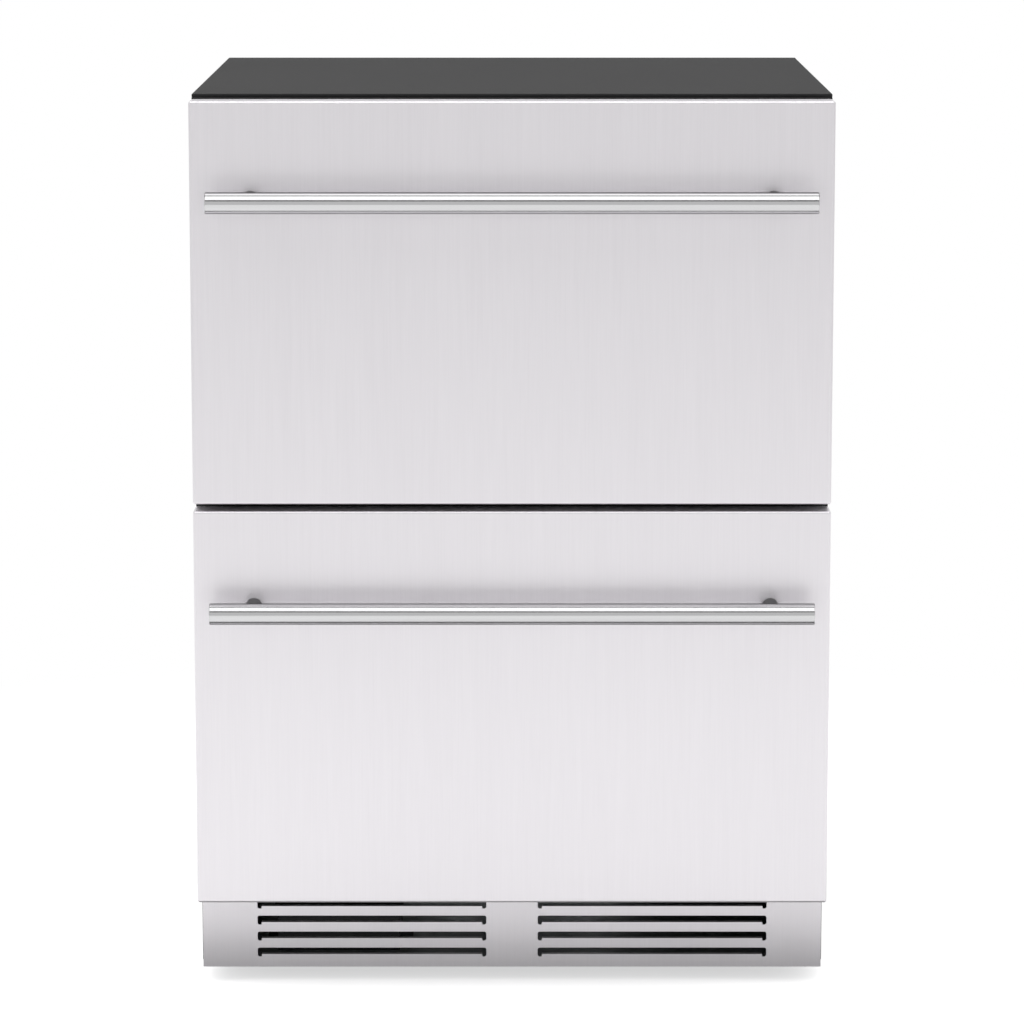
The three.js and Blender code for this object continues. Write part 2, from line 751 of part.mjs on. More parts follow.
function fan({ frameName, rotorName, frameSize, depth, sweep, hub, motorDepth, bladeCount, chord }) {
  const bore = sweep / 2 + tipClearance;
  const plate = cut(
    block([-frameSize[0] / 2, frameSize[0] / 2], [-frameSize[1] / 2, frameSize[1] / 2], [0, depth]),
    rod(bore, [-depth, 2 * depth], barRound),
  );
  const struts = range(strutCount).map((i) => (
    block([0, bore + strutThickness], [-strutWidth / 2, strutWidth / 2], [0, strutThickness])
      .rotateZ((2 * Math.PI * i) / strutCount + Math.PI / 6)
  ));
  const rotorEnd = depth - tipClearance;
  const shaftEnd = rotorEnd - strutThickness;
  const can = rod(hub / 2, [0, motorDepth], standoffRound);
  const shaft = rod(shaftDiameter / 2, [0, shaftEnd], thinRound);
  const frame = piece(frameName, join(plate, ...struts, can, shaft), blackPlastic);

  const rotorStart = motorDepth + rotorClearance;
  const rootOverlap = bladeSheet;
  const bladeLength = sweep / 2 - hub / 2 + rootOverlap;
  const blades = range(bladeCount).map((i) => (
    new THREE.BoxGeometry(bladeLength, chord, bladeSheet)
      .rotateX(bladePitch)
      .translate(hub / 2 - rootOverlap + bladeLength / 2, 0, (rotorStart + rotorEnd) / 2)
      .rotateZ((2 * Math.PI * i) / bladeCount)
  ));
  const boss = rod(hub / 2, [rotorStart, rotorEnd], standoffRound);
  const swept = keepInside(join(boss, ...blades), rod(sweep / 2, [0, depth], sweepRound));
  const shaftHole = rod(shaftDiameter / 2 + fit, [0, shaftEnd + fit], thinRound);
  const rotor = piece(rotorName, cut(swept, shaftHole), blackPlastic);
  return groupOf(frame, rotor);
}

function evaporatorFan() {
  const unit = fan({
    frameName: 'evaporator_fan_motor',
    rotorName: 'evaporator_fan_rotor',
    frameSize: [fanFrame, fanFrame],
    depth: fanDepth,
    sweep: fanSweep,
    hub: fanHub,
    motorDepth: fanMotorDepth,
    bladeCount: fanBlades,
    chord: fanChord,
  });
  unit.position.set(0, coverFront + coverWall + fit + fanDepth, fanLevel);
  unit.rotation.x = Math.PI / 2;
  return unit;
}

function condenserFan() {
  const unit = fan({
    frameName: 'condenser_fan_shroud',
    rotorName: 'condenser_fan_rotor',
    frameSize: [shroudHeight, shroudWidth],
    depth: shroudDepth,
    sweep: condenserSweep,
    hub: condenserHub,
    motorDepth: condenserMotorDepth,
    bladeCount: condenserBlades,
    chord: condenserChord,
  });
  unit.position.set(shroudX, bayMiddle, shroudLevel);
  unit.rotation.y = Math.PI / 2;
  return unit;
}

// ---------------------------------------------------------------------------------------------------------
// Finned coils: a serpentine of straight passes along X, stacked downward, through plate fins

function finnedCoil({ run, passes, pitch, thickness, tube, fins, level, lead, tail, bracket }) {
  const bendRadius = (pitch - bendStraight) / 2;
  const overrun = bendRadius + coilOverrun;
  const top = level + ((passes - 1) * pitch) / 2;
  const corners = [...lead];
  range(passes).forEach((pass) => {
    const z = top - pass * pitch;
    const direction = pass % 2 === 0 ? 1 : -1;
    const end = run / 2 + overrun;
    if (pass > 0) {
      corners.push([-direction * end, 0, z]);
    }
    if (pass < passes - 1) {
      corners.push([direction * end, 0, z]);
    }
  });
  corners.push(...tail);
  const stackHalf = (passes * pitch) / 2;
  const plates = range(fins).map((i) => {
    const x = -run / 2 + (run * i) / (fins - 1);
    const isEnd = i === 0 || i === fins - 1;
    const reach = isEnd ? bracket : [-thickness / 2, thickness / 2, level - stackHalf];
    return block([x - finSheet / 2, x + finSheet / 2], [reach[0], reach[1]], [reach[2], level + stackHalf]);
  });
  return join(pipe(corners, tube, bendRadius), ...plates);
}

function evaporatorCoil() {
  const top = coilLevel + ((coilPasses - 1) * coilPitch) / 2;
  const bottom = coilLevel - ((coilPasses - 1) * coilPitch) / 2;
  const lineOffset = suctionY - coilY;
  const coil = finnedCoil({
    run: coilRun,
    passes: coilPasses,
    pitch: coilPitch,
    thickness: coilThickness,
    tube: coilTube,
    fins: coilFins,
    level: coilLevel,
    lead: [
      [-suctionX, lineOffset, capillaryTop + fit],
      [-suctionX, lineOffset, top - coilPitch / 2],
      [-suctionX, 0, top],
    ],
    tail: [
      [suctionX, 0, bottom],
      [suctionX, lineOffset, bottom - coilPitch],
      [suctionX, lineOffset, onPan + stubTop + fit],
    ],
    bracket: [-coilThickness / 2, cavityBack - fit - coilY, coilLevel - (coilPasses * coilPitch) / 2],
  });
  const mesh = piece('evaporator_coil', coil, aluminium);
  mesh.position.y = coilY;
  return mesh;
}

// The condenser stands on its end plates with its passes running front to back, so it is turned a quarter.
function condenserCoil() {
  const stackTop = condenserLevel + ((condenserPasses - 1) * condenserPitch) / 2;
  const stackBottom = condenserLevel - ((condenserPasses - 1) * condenserPitch) / 2;
  const end = condenserRun / 2 + condenserPitch;
  const fromCompressor = condenserX - compressorX - dischargeStub[0];
  const stubAlong = dischargeStub[1];
  const coil = finnedCoil({
    run: condenserRun,
    passes: condenserPasses,
    pitch: condenserPitch,
    thickness: condenserThickness,
    tube: condenserTube,
    fins: condenserFins,
    level: condenserLevel,
    lead: [
      [stubAlong, fromCompressor, onPan + stubTop + fit],
      [stubAlong, fromCompressor, dischargeLevel],
      [stubAlong, 0, dischargeLevel],
      [-end, 0, dischargeLevel],
      [-end, 0, stackTop],
    ],
    tail: [[end, 0, stackBottom], [end, (condenserX - drierX) / 2, stackBottom]],
    bracket: [-condenserThickness / 2, condenserThickness / 2, onPan],
  });
  const mesh = piece('condenser_coil', coil, copper);
  mesh.position.set(condenserX, bayMiddle, 0);
  mesh.rotation.z = Math.PI / 2;
  return mesh;
}

// Filter drier, standing in the bay's corner, and the capillary that climbs from it to the evaporator.
function liquidLine() {
  const y = bayMiddle + condenserRun / 2 + condenserPitch;
  const outlet = condenserLevel - ((condenserPasses - 1) * condenserPitch) / 2;
  const start = condenserX - (condenserX - drierX) / 2 - fit;
  const turnLevel = (condenserLevel + dischargeLevel) / 2 + drierLength / 2;
  const line = pipe([
    [start, y, outlet],
    [drierX, y, outlet],
    [drierX, y, turnLevel],
    [-suctionX, suctionY, turnLevel],
    [-suctionX, suctionY, capillaryTop],
  ], capillaryDiameter, 2 * capillaryDiameter);
  const drierSpan = [condenserLevel - drierLength / 2, condenserLevel + drierLength / 2];
  const drier = rod(drierDiameter / 2, drierSpan, mediumRound, drierX, y);
  return piece('liquid_line', join(line, drier), copper);
}

function compressor() {
  const radius = compressorDiameter / 2;
  const [plateX, plateY, plateSheet] = compressorPlate;
  const plateBottom = grommetHeight;
  const plateTop = grommetHeight + plateSheet;
  const canTop = plateTop + compressorHeight;
  const can = turned([
    [0, plateBottom],
    [radius - compressorFoot[0], plateBottom],
    [radius, plateBottom + compressorFoot[1]],
    ...compressorDome.map(([inward, down]) => [radius - inward, canTop - down]),
    [0, canTop],
  ], canRound);
  const plate = block([-plateX / 2, plateX / 2], [-plateY / 2, plateY / 2], [plateBottom, plateTop]);
  const grommets = [-1, 1].flatMap((a) => [-1, 1].map((b) => rod(
    grommetDiameter / 2,
    [0, plateTop + grommetHeight / 2],
    thinRound,
    a * (plateX / 2 - grommetDiameter / 2),
    b * (plateY / 2 - grommetDiameter / 2),
  )));
  const stubs = [suctionStub, dischargeStub].map(([x, y]) => (
    rod(stubDiameter / 2, [stubTop - stubLength, stubTop], thinRound, x, y)
  ));
  const terminals = block(
    [-terminalBox[0] / 2, terminalBox[0] / 2],
    [-radius - terminalBoxReach, -radius + terminalBoxRoot],
    [(canTop - terminalBox[1]) / 2, (canTop + terminalBox[1]) / 2],
  );
  const mesh = piece('compressor', join(can, plate, ...grommets, ...stubs, terminals), blackPaint);
  mesh.position.set(compressorX, compressorY, onPan);
  return mesh;
}

function drainPan() {
  const yRange = [bayMiddle - trayLength / 2, bayMiddle + trayLength / 2];
  const inward = ([low, high]) => [low + trayWall, high - trayWall];
  const tray = roundedBlock([trayLeft, trayRight], yRange, [onPan, onPan + trayHeight], binCorner);
  const hollow = roundedBlock(
    inward([trayLeft, trayRight]),
    inward(yRange),
    [onPan + trayWall, onPan + trayHeight + trayWall],
    binCorner - trayWall,
  );
  return piece('drain_pan', cut(tray, hollow), blackPlastic);
}

function controlBox() {
  const [width, depth, height] = controlBoxSize;
  const [footReach, footLength] = controlBoxFoot;
  const body = block([-width / 2, width / 2], [0, depth], [0, height - controlBoxLid]);
  const lid = block(
    [-width / 2 - controlBoxLid, width / 2 + controlBoxLid],
    [-controlBoxLid, depth + controlBoxLid],
    [height - controlBoxRim, height],
  );
  const feet = sides.map(([, side]) => block(
    between(0, side * (width / 2 + footReach)),
    [(depth - footLength) / 2, (depth + footLength) / 2],
    [0, controlBoxLid],
  ));
  const mesh = piece('control_box', join(body, lid, ...feet), blackPlastic);
  mesh.position.set(condenserX, cabinetFront + controlBoxSetback, onPan);
  return mesh;
}

// The bush that the mains lead passes through, held by its collar behind the machine bay's cover.
function powerGland() {
  const bush = rod(glandDiameter / 2, [glandProud - glandLength, glandProud], mediumRound);
  const collar = rod(glandCollar / 2, [-sheet - fit - glandCollarDepth, -sheet - fit], mediumRound);
  const mesh = piece('power_gland', join(bush, collar), blackPlastic);
  mesh.position.set(glandX, rearFace, glandLevel);
  mesh.rotation.x = -Math.PI / 2;
  return mesh;
}

function evaporatorCover() {
  const zRange = [stepTop + fit, cavityCeiling - fit];
  const half = cavityHalf - fit;
  const shell = block([-half, half], [coverFront, cavityBack - fit], zRange);
  const hollow = block(
    [-half + coverWall, half - coverWall],
    [coverFront + coverWall, cavityBack],
    [0, cabinetHeight],
  );
  const through = [coverFront - coverWall, coverFront + 2 * coverWall];
  const grille = range(grilleRows).map((row) => {
    const rise = (row - (grilleRows - 1) / 2) * grillePitch;
    const chord = Math.sqrt((fanSweep / 2) ** 2 - rise ** 2);
    const z = fanLevel + rise;
    return block([-chord, chord], through, [z - grilleSlot / 2, z + grilleSlot / 2]);
  });
  const returns = range(returnSlots).map((i) => {
    const x = (i - (returnSlots - 1) / 2) * returnSlotPitch;
    const zSlot = [returnSlotLevel - returnSlotHeight / 2, returnSlotLevel + returnSlotHeight / 2];
    return block([x - grilleSlot / 2, x + grilleSlot / 2], through, zSlot);
  });
  return piece('evaporator_cover', cut(shell, hollow, ...grille, ...returns), whitePlastic);
}

// ---------------------------------------------------------------------------------------------------------
// Drawers. Each is built in its own frame, whose Z starts at its front's lower edge.

function frontSkin(name) {
  const pan = block([-halfWidth, halfWidth], [0, skinDepth], [0, frontHeight]);
  const hollow = block(
    [-halfWidth + sheet, halfWidth - sheet],
    [sheet, skinDepth - sheet],
    [sheet, frontHeight - sheet],
  );
  const mouth = block(
    [-halfWidth + skinLip, halfWidth - skinLip],
    [skinDepth / 2, skinDepth + sheet],
    [skinLip, frontHeight - skinLip],
  );
  return piece(`${name}_front_skin`, cut(pan, hollow, mouth), brushedSteel);
}

// The raised pan behind the door liner, which reaches into the cabinet's opening.
function plugBlock([low, high], inset, yRange) {
  const half = openingHalf - plugClearance - inset;
  const zRange = [low + plugClearance + inset, high - plugClearance - inset];
  return block([-half, half], yRange, zRange);
}

function frontFoam(name, opening) {
  const gap = sheet + fit;
  const core = block([-halfWidth + gap, halfWidth - gap], [gap, skinDepth - gap], [gap, frontHeight - gap]);
  const plug = plugBlock(opening, plugWall + fit, [skinDepth / 2, plugBack - plugWall - fit]);
  return piece(`${name}_front_foam`, join(core, plug), foam);
}

function doorLiner(name, opening) {
  const plate = block(
    [-halfWidth + doorLinerInset, halfWidth - doorLinerInset],
    [doorLinerFront, doorLinerFront + doorLinerWall],
    [doorLinerInset, frontHeight - doorLinerInset],
  );
  const pan = plugBlock(opening, 0, [doorLinerFront, plugBack]);
  const hollow = plugBlock(opening, plugWall, [doorLinerFront - plugWall, plugBack - plugWall]);
  return piece(`${name}_door_liner`, cut(join(plate, pan), hollow), whitePlastic);
}

function ring(inset, width, yRange) {
  const span = (offset, size) => [offset, size - offset];
  const outer = block([-halfWidth + inset, halfWidth - inset], yRange, span(inset, frontHeight));
  const hole = inset + width;
  const inner = block(
    [-halfWidth + hole, halfWidth - hole],
    [yRange[0] - width, yRange[1] + width],
    span(hole, frontHeight),
  );
  return cut(outer, inner);
}

function gasket(name) {
  const base = ring(gasketInset, gasketWidth, [gasketFront, gasketFront + gasketBase]);
  const bulbInset = gasketInset + (gasketWidth - gasketBulb) / 2;
  const bulb = ring(bulbInset, gasketBulb, [gasketFront + gasketBase / 2, gasketFront + gasketDepth]);
  return piece(`${name}_gasket`, join(base, bulb), greyRubber);
}

// Bar and standoffs, placed about the bar's own axis.
function handle(name) {
  const barSolid = rod(barDiameter / 2, [-barLength / 2, barLength / 2], barRound);
  const bar = piece(`${name}_handle_bar`, barSolid, satinSteel);
  bar.rotation.y = Math.PI / 2;
  const acrossPost = [-standoffDiameter, standoffDiameter];
  const saddle = rod(barDiameter / 2 + fit, acrossPost, barRound).rotateY(Math.PI / 2);
  const standoffs = sides.map(([hand, side]) => {
    const post = rod(standoffDiameter / 2, [0, barReach - fit], standoffRound).rotateX(-Math.PI / 2);
    const standoff = piece(`${name}_${hand}_standoff`, cut(post, saddle), satinSteel);
    standoff.position.x = (side * standoffSpacing) / 2;
    return standoff;
  });
  const group = groupOf(bar, standoffs);
  group.position.set(0, -barReach, frontHeight - barDrop);
  return group;
}

function drawerFrame(name, railLevel) {
  const zRange = [railLevel - railHeight / 2, railLevel + railHeight / 2];
  const parts = sides.flatMap(([, side]) => {
    const span = (a, b) => between(side * a, side * b);
    const shelf = [zRange[1] - railSteel, zRange[1]];
    return [
      block(span(railInner, railOuter), [frameFront, frameBack], zRange),
      block(span(railInner, railOuter + railFlange), [frameFront, frameBack], shelf),
      block(span(railOuter - frontFoot, railOuter), [frameFront, frameFront + railSteel], zRange),
    ];
  });
  const rearBar = block([-railOuter, railOuter], [frameBack - railSteel, frameBack], zRange);
  return piece(`${name}_drawer_frame`, join(...parts, rearBar), galvanisedSteel);
}

// A bin hangs by its shoulders on the rails; the lower one has a shallow part over the machine bay's step.
function binShape({ floor, top, shoulder, deepBack, shallowFloor }, inset) {
  const front = frameFront + railSteel + binEndClearance + inset;
  const back = frameBack - railSteel - binEndClearance - inset;
  const narrow = railInner - binSideClearance - inset;
  const wide = railOuter + railFlange - fit - inset;
  const upper = top + (inset > 0 ? binWall : 0);
  const corner = binCorner - inset;
  const hung = roundedBlock([-wide, wide], [front, back], [shoulder + inset, upper], corner);
  const deepEnd = deepBack ? deepBack - inset : back;
  const deep = roundedBlock([-narrow, narrow], [front, deepEnd], [floor + inset, upper], corner);
  if (!deepBack) {
    return join(hung, deep);
  }
  const shallow = roundedBlock([-narrow, narrow], [front, back], [shallowFloor + inset, upper], corner);
  return join(hung, deep, shallow);
}

function bin(name, levels) {
  return piece(`${name}_bin`, cut(binShape(levels, 0), binShape(levels, binWall)), clearPlastic);
}

// A plate across the bin's depth that slides sideways; its bar rests on the bin's front and rear rims.
function divider(name, { floor, top, deepBack, shallowFloor }) {
  const inset = binWall + dividerRunning;
  const front = frameFront + railSteel + binEndClearance;
  const back = frameBack - railSteel - binEndClearance;
  const points = [[front + inset, floor + inset]];
  if (deepBack) {
    points.push([deepBack - inset, floor + inset], [deepBack - inset, shallowFloor + inset]);
    points.push([back - inset, shallowFloor + inset]);
  } else {
    points.push([back - inset, floor + inset]);
  }
  const intoBar = top + fit + dividerBarHeight / 2;
  points.push([back - inset, intoBar], [front + inset, intoBar]);
  const plate = alongX(outline(points), [-dividerSheet / 2, dividerSheet / 2]);
  const bar = block(
    [-dividerBarWidth / 2, dividerBarWidth / 2],
    [front, back],
    [top + fit, top + fit + dividerBarHeight],
  );
  return piece(`${name}_divider`, join(plate, bar), clearPlastic);
}

// A rolled channel: a web at one distance from the wall and flanges that run to another.
function channel(web, flangeEnd, halfHeight) {
  const toward = Math.sign(flangeEnd - web);
  const inside = web + toward * slideSteel;
  const inner = halfHeight - slideSteel;
  return alongY(outline([
    [web, -halfHeight],
    [flangeEnd, -halfHeight],
    [flangeEnd, -inner],
    [inside, -inner],
    [inside, inner],
    [flangeEnd, inner],
    [flangeEnd, halfHeight],
    [web, halfHeight],
  ]), [0, slideLength]);
}

function slides(name, level) {
  const outerHalf = slideHeight / 2;
  const middleHalf = outerHalf - slideSteel - slideRunning;
  const innerHalfHeight = middleHalf - slideSteel - slideRunning;
  return sides.map(([hand, side]) => {
    const pair = groupOf(
      piece(`${name}_${hand}_slide_outer`, channel(0, outerFlange, outerHalf), zincSteel),
      piece(`${name}_${hand}_slide_middle`, channel(middleWeb, middleFlange, middleHalf), zincSteel),
      piece(`${name}_${hand}_slide_inner`, channel(slideWidth, innerFlange, innerHalfHeight), zincSteel),
    );
    pair.position.set(side * slideWall, slideFront, level);
    pair.rotation.y = side > 0 ? Math.PI : 0;
    return pair;
  });
}

function drawer(name, bottom, { opening, railLevel, binLevels }) {
  const above = (level) => level - bottom;
  const openingAbove = opening.map(above);
  const levels = Object.fromEntries(Object.entries(binLevels).map(([key, level]) => (
    [key, key === 'deepBack' ? level : above(level)]
  )));
  levels.shoulder = above(railLevel) + railHeight / 2 + fit;
  const group = groupOf(
    frontSkin(name),
    frontFoam(name, openingAbove),
    doorLiner(name, openingAbove),
    gasket(name),
    handle(name),
    drawerFrame(name, above(railLevel)),
    bin(name, levels),
    divider(name, levels),
    slides(name, above(railLevel)),
  );
  group.position.z = bottom;
  return group;
}

function lowerDrawer() {
  return drawer('lower', frontBottom, {
    opening: [openingBottom, mullionBottom],
    railLevel: stepTop + stepClearance + railHeight / 2,
    binLevels: {
      floor: cavityFloor + binFloorClearance,
      top: mullionBottom - lowerHeadroom,
      deepBack: stepFront - stepClearance,
      shallowFloor: stepTop + shallowFloorClearance,
    },
  });
}

function upperDrawer() {
  return drawer('upper', frontBottom + frontHeight + frontGap, {
    opening: [mullionTop, openingTop],
    railLevel: mullionTop + upperRailRise + railHeight / 2,
    binLevels: {
      floor: mullionTop + binFloorClearance,
      top: cavityCeiling - upperHeadroom,
    },
  });
}

// ---------------------------------------------------------------------------------------------------------
// The whole refrigerator

const cabinet = groupOf(
  topPanel(),
  sides.map(([hand, side]) => sidePanel(`${hand}_side_panel`, side)),
  rearPanel(),
  machineBayCover(),
  basePan(),
  legs(),
  cabinetFloor(),
  cabinetInsulation(),
  innerLiner(),
  frontFrame(),
  kickPlate(),
  controlPanel(),
);

const cooling = groupOf(
  evaporatorCover(),
  evaporatorCoil(),
  evaporatorFan(),
  condenserCoil(),
  condenserFan(),
  liquidLine(),
  compressor(),
  drainPan(),
  controlBox(),
  powerGland(),
);

const refrigerator = groupOf(cabinet, cooling, upperDrawer(), lowerDrawer());
refrigerator.position.y = handleProjection - overallDepth / 2;

export default refrigerator;
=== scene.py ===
import json
from math import cos, pi, radians, sin, sqrt, tan

import bmesh
import bpy
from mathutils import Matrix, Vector


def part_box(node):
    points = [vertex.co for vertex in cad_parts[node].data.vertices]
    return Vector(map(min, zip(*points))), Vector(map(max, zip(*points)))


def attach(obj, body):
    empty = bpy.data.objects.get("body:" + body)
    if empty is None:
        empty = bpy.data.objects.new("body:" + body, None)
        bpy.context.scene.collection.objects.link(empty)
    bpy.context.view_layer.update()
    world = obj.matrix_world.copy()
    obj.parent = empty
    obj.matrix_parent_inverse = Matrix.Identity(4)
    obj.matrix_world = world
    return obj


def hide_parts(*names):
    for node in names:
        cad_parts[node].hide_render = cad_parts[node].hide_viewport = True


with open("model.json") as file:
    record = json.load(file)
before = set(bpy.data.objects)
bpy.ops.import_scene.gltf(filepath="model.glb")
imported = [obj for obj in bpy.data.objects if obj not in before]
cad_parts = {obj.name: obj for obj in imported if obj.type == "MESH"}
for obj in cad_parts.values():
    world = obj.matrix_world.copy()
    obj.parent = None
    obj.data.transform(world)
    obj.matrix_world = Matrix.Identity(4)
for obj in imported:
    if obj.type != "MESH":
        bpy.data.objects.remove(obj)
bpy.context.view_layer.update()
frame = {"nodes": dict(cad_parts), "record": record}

scene = bpy.context.scene
scene.view_settings.view_transform = "Standard"

# ---------------------------------------------------------------------------------------------------------
# Camera. A long lens well in front of the appliance and a little above it, looking slightly down, so that
# the drawer fronts stay nearly square and the top panel shows as a shallow trapezium.

front_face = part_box("upper_front_skin")[0].y
camera_distance = 4.153  # from the drawer fronts
camera_height = 1.156
camera_tilt = radians(9.32)
camera_lens = 156.1  # focal length, mm

camera_data = bpy.data.cameras.new("camera")
camera_data.lens = camera_lens
camera = bpy.data.objects.new("camera", camera_data)
camera.location = (0, front_face - camera_distance, camera_height)
camera.rotation_euler = (pi / 2 - camera_tilt, 0, 0)
scene.collection.objects.link(camera)
scene.camera = camera


# ---------------------------------------------------------------------------------------------------------
# Studio. A white floor, a white surround and large soft lamps. Darker cloths, which only reflections show,
# draw the dark lines along polished bars and shade the foot of the kick plate.

class Signal:
    """One output of a shader tree. Arithmetic on it adds Math nodes."""

    def __init__(self, finish, socket):
        self.finish = finish
        self.socket = socket

    def __add__(self, other):
        return self.finish.math("ADD", self, other)

    def __sub__(self, other):
        return self.finish.math("SUBTRACT", self, other)

    def __rsub__(self, other):
        return self.finish.math("SUBTRACT", other, self)

    def __mul__(self, other):
        return self.finish.math("MULTIPLY", self, other)

    def __pow__(self, other):
        return self.finish.math("POWER", self, other)

    def __rpow__(self, other):
        return self.finish.math("POWER", other, self)

    def above(self, other):
        return self.finish.math("GREATER_THAN", self, other)

    def most(self, other):
        return self.finish.math("MAXIMUM", self, other)

    __radd__ = __add__
    __rmul__ = __mul__


class Finish:
    """A shader tree under construction, for a material or for the world."""

    def __init__(self, name, owner=None):
        self.owner = owner or bpy.data.materials.new(f"{name}_finish")
        self.owner.use_nodes = True
        self.tree = self.owner.node_tree
        self.tree.nodes.clear()

    def node(self, kind, settings=None, inputs=None, output=0):
        made = self.tree.nodes.new("ShaderNode" + kind)
        for key, value in (settings or {}).items():
            setattr(made, key, value)
        for key, value in (inputs or {}).items():
            if isinstance(value, Signal):
                self.tree.links.new(value.socket, made.inputs[key])
            else:
                made.inputs[key].default_value = value
        return Signal(self, made.outputs[output])

    def place(self):
        return self.node("TexCoord", output="Object")

    def seen_by(self, kind):
        return self.node("LightPath", output=f"Is {kind} Ray")

    def seen(self):
        """1 for the camera, through clear plastic and in a first reflection, and 0 for all other light."""
        straight = self.seen_by("Camera").most(self.seen_by("Transmission"))
        first = self.math("LESS_THAN", self.node("LightPath", output="Glossy Depth"), 1.5)
        return straight.most(self.seen_by("Glossy") * first)

    def math(self, operation, first, second):
        return self.node("Math", {"operation": operation}, {0: first, 1: second})

    def noise(self, per_metre, detail=2.0, rough=0.5):
        """Noise with so many cells a metre along X, Y and Z, whose values lie mostly from 0.3 to 0.7."""
        stretched = self.node("Mapping", {}, {"Vector": self.place(), "Scale": per_metre})
        sockets = {"Vector": stretched, "Scale": 1, "Detail": detail, "Roughness": rough}
        return self.node("TexNoise", {}, sockets)

    def mix(self, share, first, second):
        return self.node("Mix", {"data_type": "RGBA"}, {0: share, 6: (*first, 1), 7: (*second, 1)}, 2)

    def bump(self, height, strength, distance):
        return self.node("Bump", {}, {"Height": height, "Strength": strength, "Distance": distance})

    def blend(self, share, first, second):
        return self.node("MixShader", {}, {0: share, 1: first, 2: second})

    def emit(self, strength):
        return self.node("Emission", {}, {"Color": (1, 1, 1, 1), "Strength": strength})

    def principled(self, **sockets):
        named = {key.replace("_", " "): value for key, value in sockets.items()}
        return self.node("BsdfPrincipled", {}, named)

    def close(self, shader, kind="OutputMaterial"):
        out = self.tree.nodes.new("ShaderNode" + kind)
        self.tree.links.new(shader.socket, out.inputs["Surface"])
        return self.owner


surround_light = 0.60  # the white surround's share of the light on a matt surface

world = Finish("surround", bpy.data.worlds.new("surround"))
scene.world = world.owner
strength = surround_light + (1 - surround_light) * world.seen()
surround = world.node("Background", {}, {"Color": (1, 1, 1, 1), "Strength": strength})
world.close(surround, "OutputWorld")


def new_piece(name, shell):
    """Puts a bmesh into a new object at the origin."""
    mesh = bpy.data.meshes.new(name)
    shell.to_mesh(mesh)
    shell.free()
    piece = bpy.data.objects.new(name, mesh)
    scene.collection.objects.link(piece)
    return piece


floor_reach = 40
floor_white = 0.80
floor_lift = 0.55  # added for the camera alone, so that the floor outside the shadow is white
fade_start, fade_end = 0.5, 1.4  # distances between which the lit floor gives way to plain white

floor_shell = bmesh.new()
bmesh.ops.create_grid(floor_shell, x_segments=1, y_segments=1, size=floor_reach)
studio_floor = new_piece("studio_floor", floor_shell)
paper = Finish("studio_floor")
distance = paper.node("VectorMath", {"operation": "LENGTH"}, {0: paper.place()}, "Value")
fade = {"Value": distance, "From Min": fade_start, "From Max": fade_end}
far = paper.node("MapRange", {"interpolation_type": "SMOOTHSTEP"}, fade)
matt = paper.node("BsdfDiffuse", {}, {"Color": (floor_white, floor_white, floor_white, 1)})
near_floor = paper.node("AddShader", {}, {0: matt, 1: paper.emit(floor_lift * paper.seen_by("Camera"))})
whole_floor = paper.blend(far * paper.seen(), near_floor, paper.emit(1))
studio_floor.data.materials.append(paper.close(whole_floor))


def cloth(name, ribbon, brightness):
    """A strip of cloth through pairs of points, seen only in reflections."""
    shell = bmesh.new()
    pairs = [[shell.verts.new(point) for point in pair] for pair in ribbon]
    for pair, after in zip(pairs, pairs[1:]):
        shell.faces.new((pair[0], after[0], after[1], pair[1]))
    hung = new_piece(name, shell)
    finish = Finish(name)
    hung.data.materials.append(finish.close(finish.emit(brightness)))
    hung.visible_camera = False
    hung.visible_diffuse = False
    hung.visible_transmission = False
    hung.visible_shadow = False


def round_room(low, high):
    """Pairs of points round the room at two heights."""
    turns = [2 * pi * step / cloth_steps for step in range(cloth_steps + 1)]
    places = [(cloth_radius * cos(turn), cloth_radius * sin(turn)) for turn in turns]
    return [[(x, y, low), (x, y, high)] for x, y in places]


def level_strip(half, front, back, height):
    """Pairs of points at the two ends of a level strip that runs across the room."""
    return [[(x, front, height), (x, back, height)] for x in (-half, half)]


cloth_radius = 3.4
cloth_steps = 64
cloth_hem = 0.001  # height above the floor
eye_height = 0.77  # the height at which the cloths' angles above the horizon are counted
grey_angle, dark_angle = 22, 34
grey_top, dark_top = (eye_height + cloth_radius * tan(radians(angle)) for angle in (grey_angle, dark_angle))
cloth("grey_cloth", round_room(cloth_hem, grey_top), brightness=0.66)
cloth("dark_cloth", round_room(grey_top, dark_top), brightness=0.08)

seam_half = 5
seam_front, seam_back = front_face - 0.32, front_face + 0.16
seam_height = 3.3
cloth("overhead_seam", level_strip(seam_half, seam_front, seam_back, seam_height), brightness=0.1)

# Painted shade: a dark sheet just above the floor under the appliance, seen only in reflections, stands for
# the shaded floor there and darkens the foot of the kick plate
shade_half = 0.36
shade_front, shade_back = front_face - 0.11, 0.34
shade_height = 0.002
cloth("base_cloth", level_strip(shade_half, shade_front, shade_back, shade_height), brightness=0.2)


def soft_lamp(name, place, size, power, shows=False):
    """A large lamp that faces the appliance. Unless it shows, reflections leave it out."""
    data = bpy.data.lights.new(name, "AREA")
    data.shape = "RECTANGLE"
    data.size, data.size_y = size
    data.energy = power
    lamp = bpy.data.objects.new(name, data)
    lamp.location = place
    lamp.rotation_euler = (Vector((0, 0, lamp_aim)) - Vector(place)).to_track_quat("-Z", "Y").to_euler()
    lamp.visible_glossy = shows
    scene.collection.objects.link(lamp)


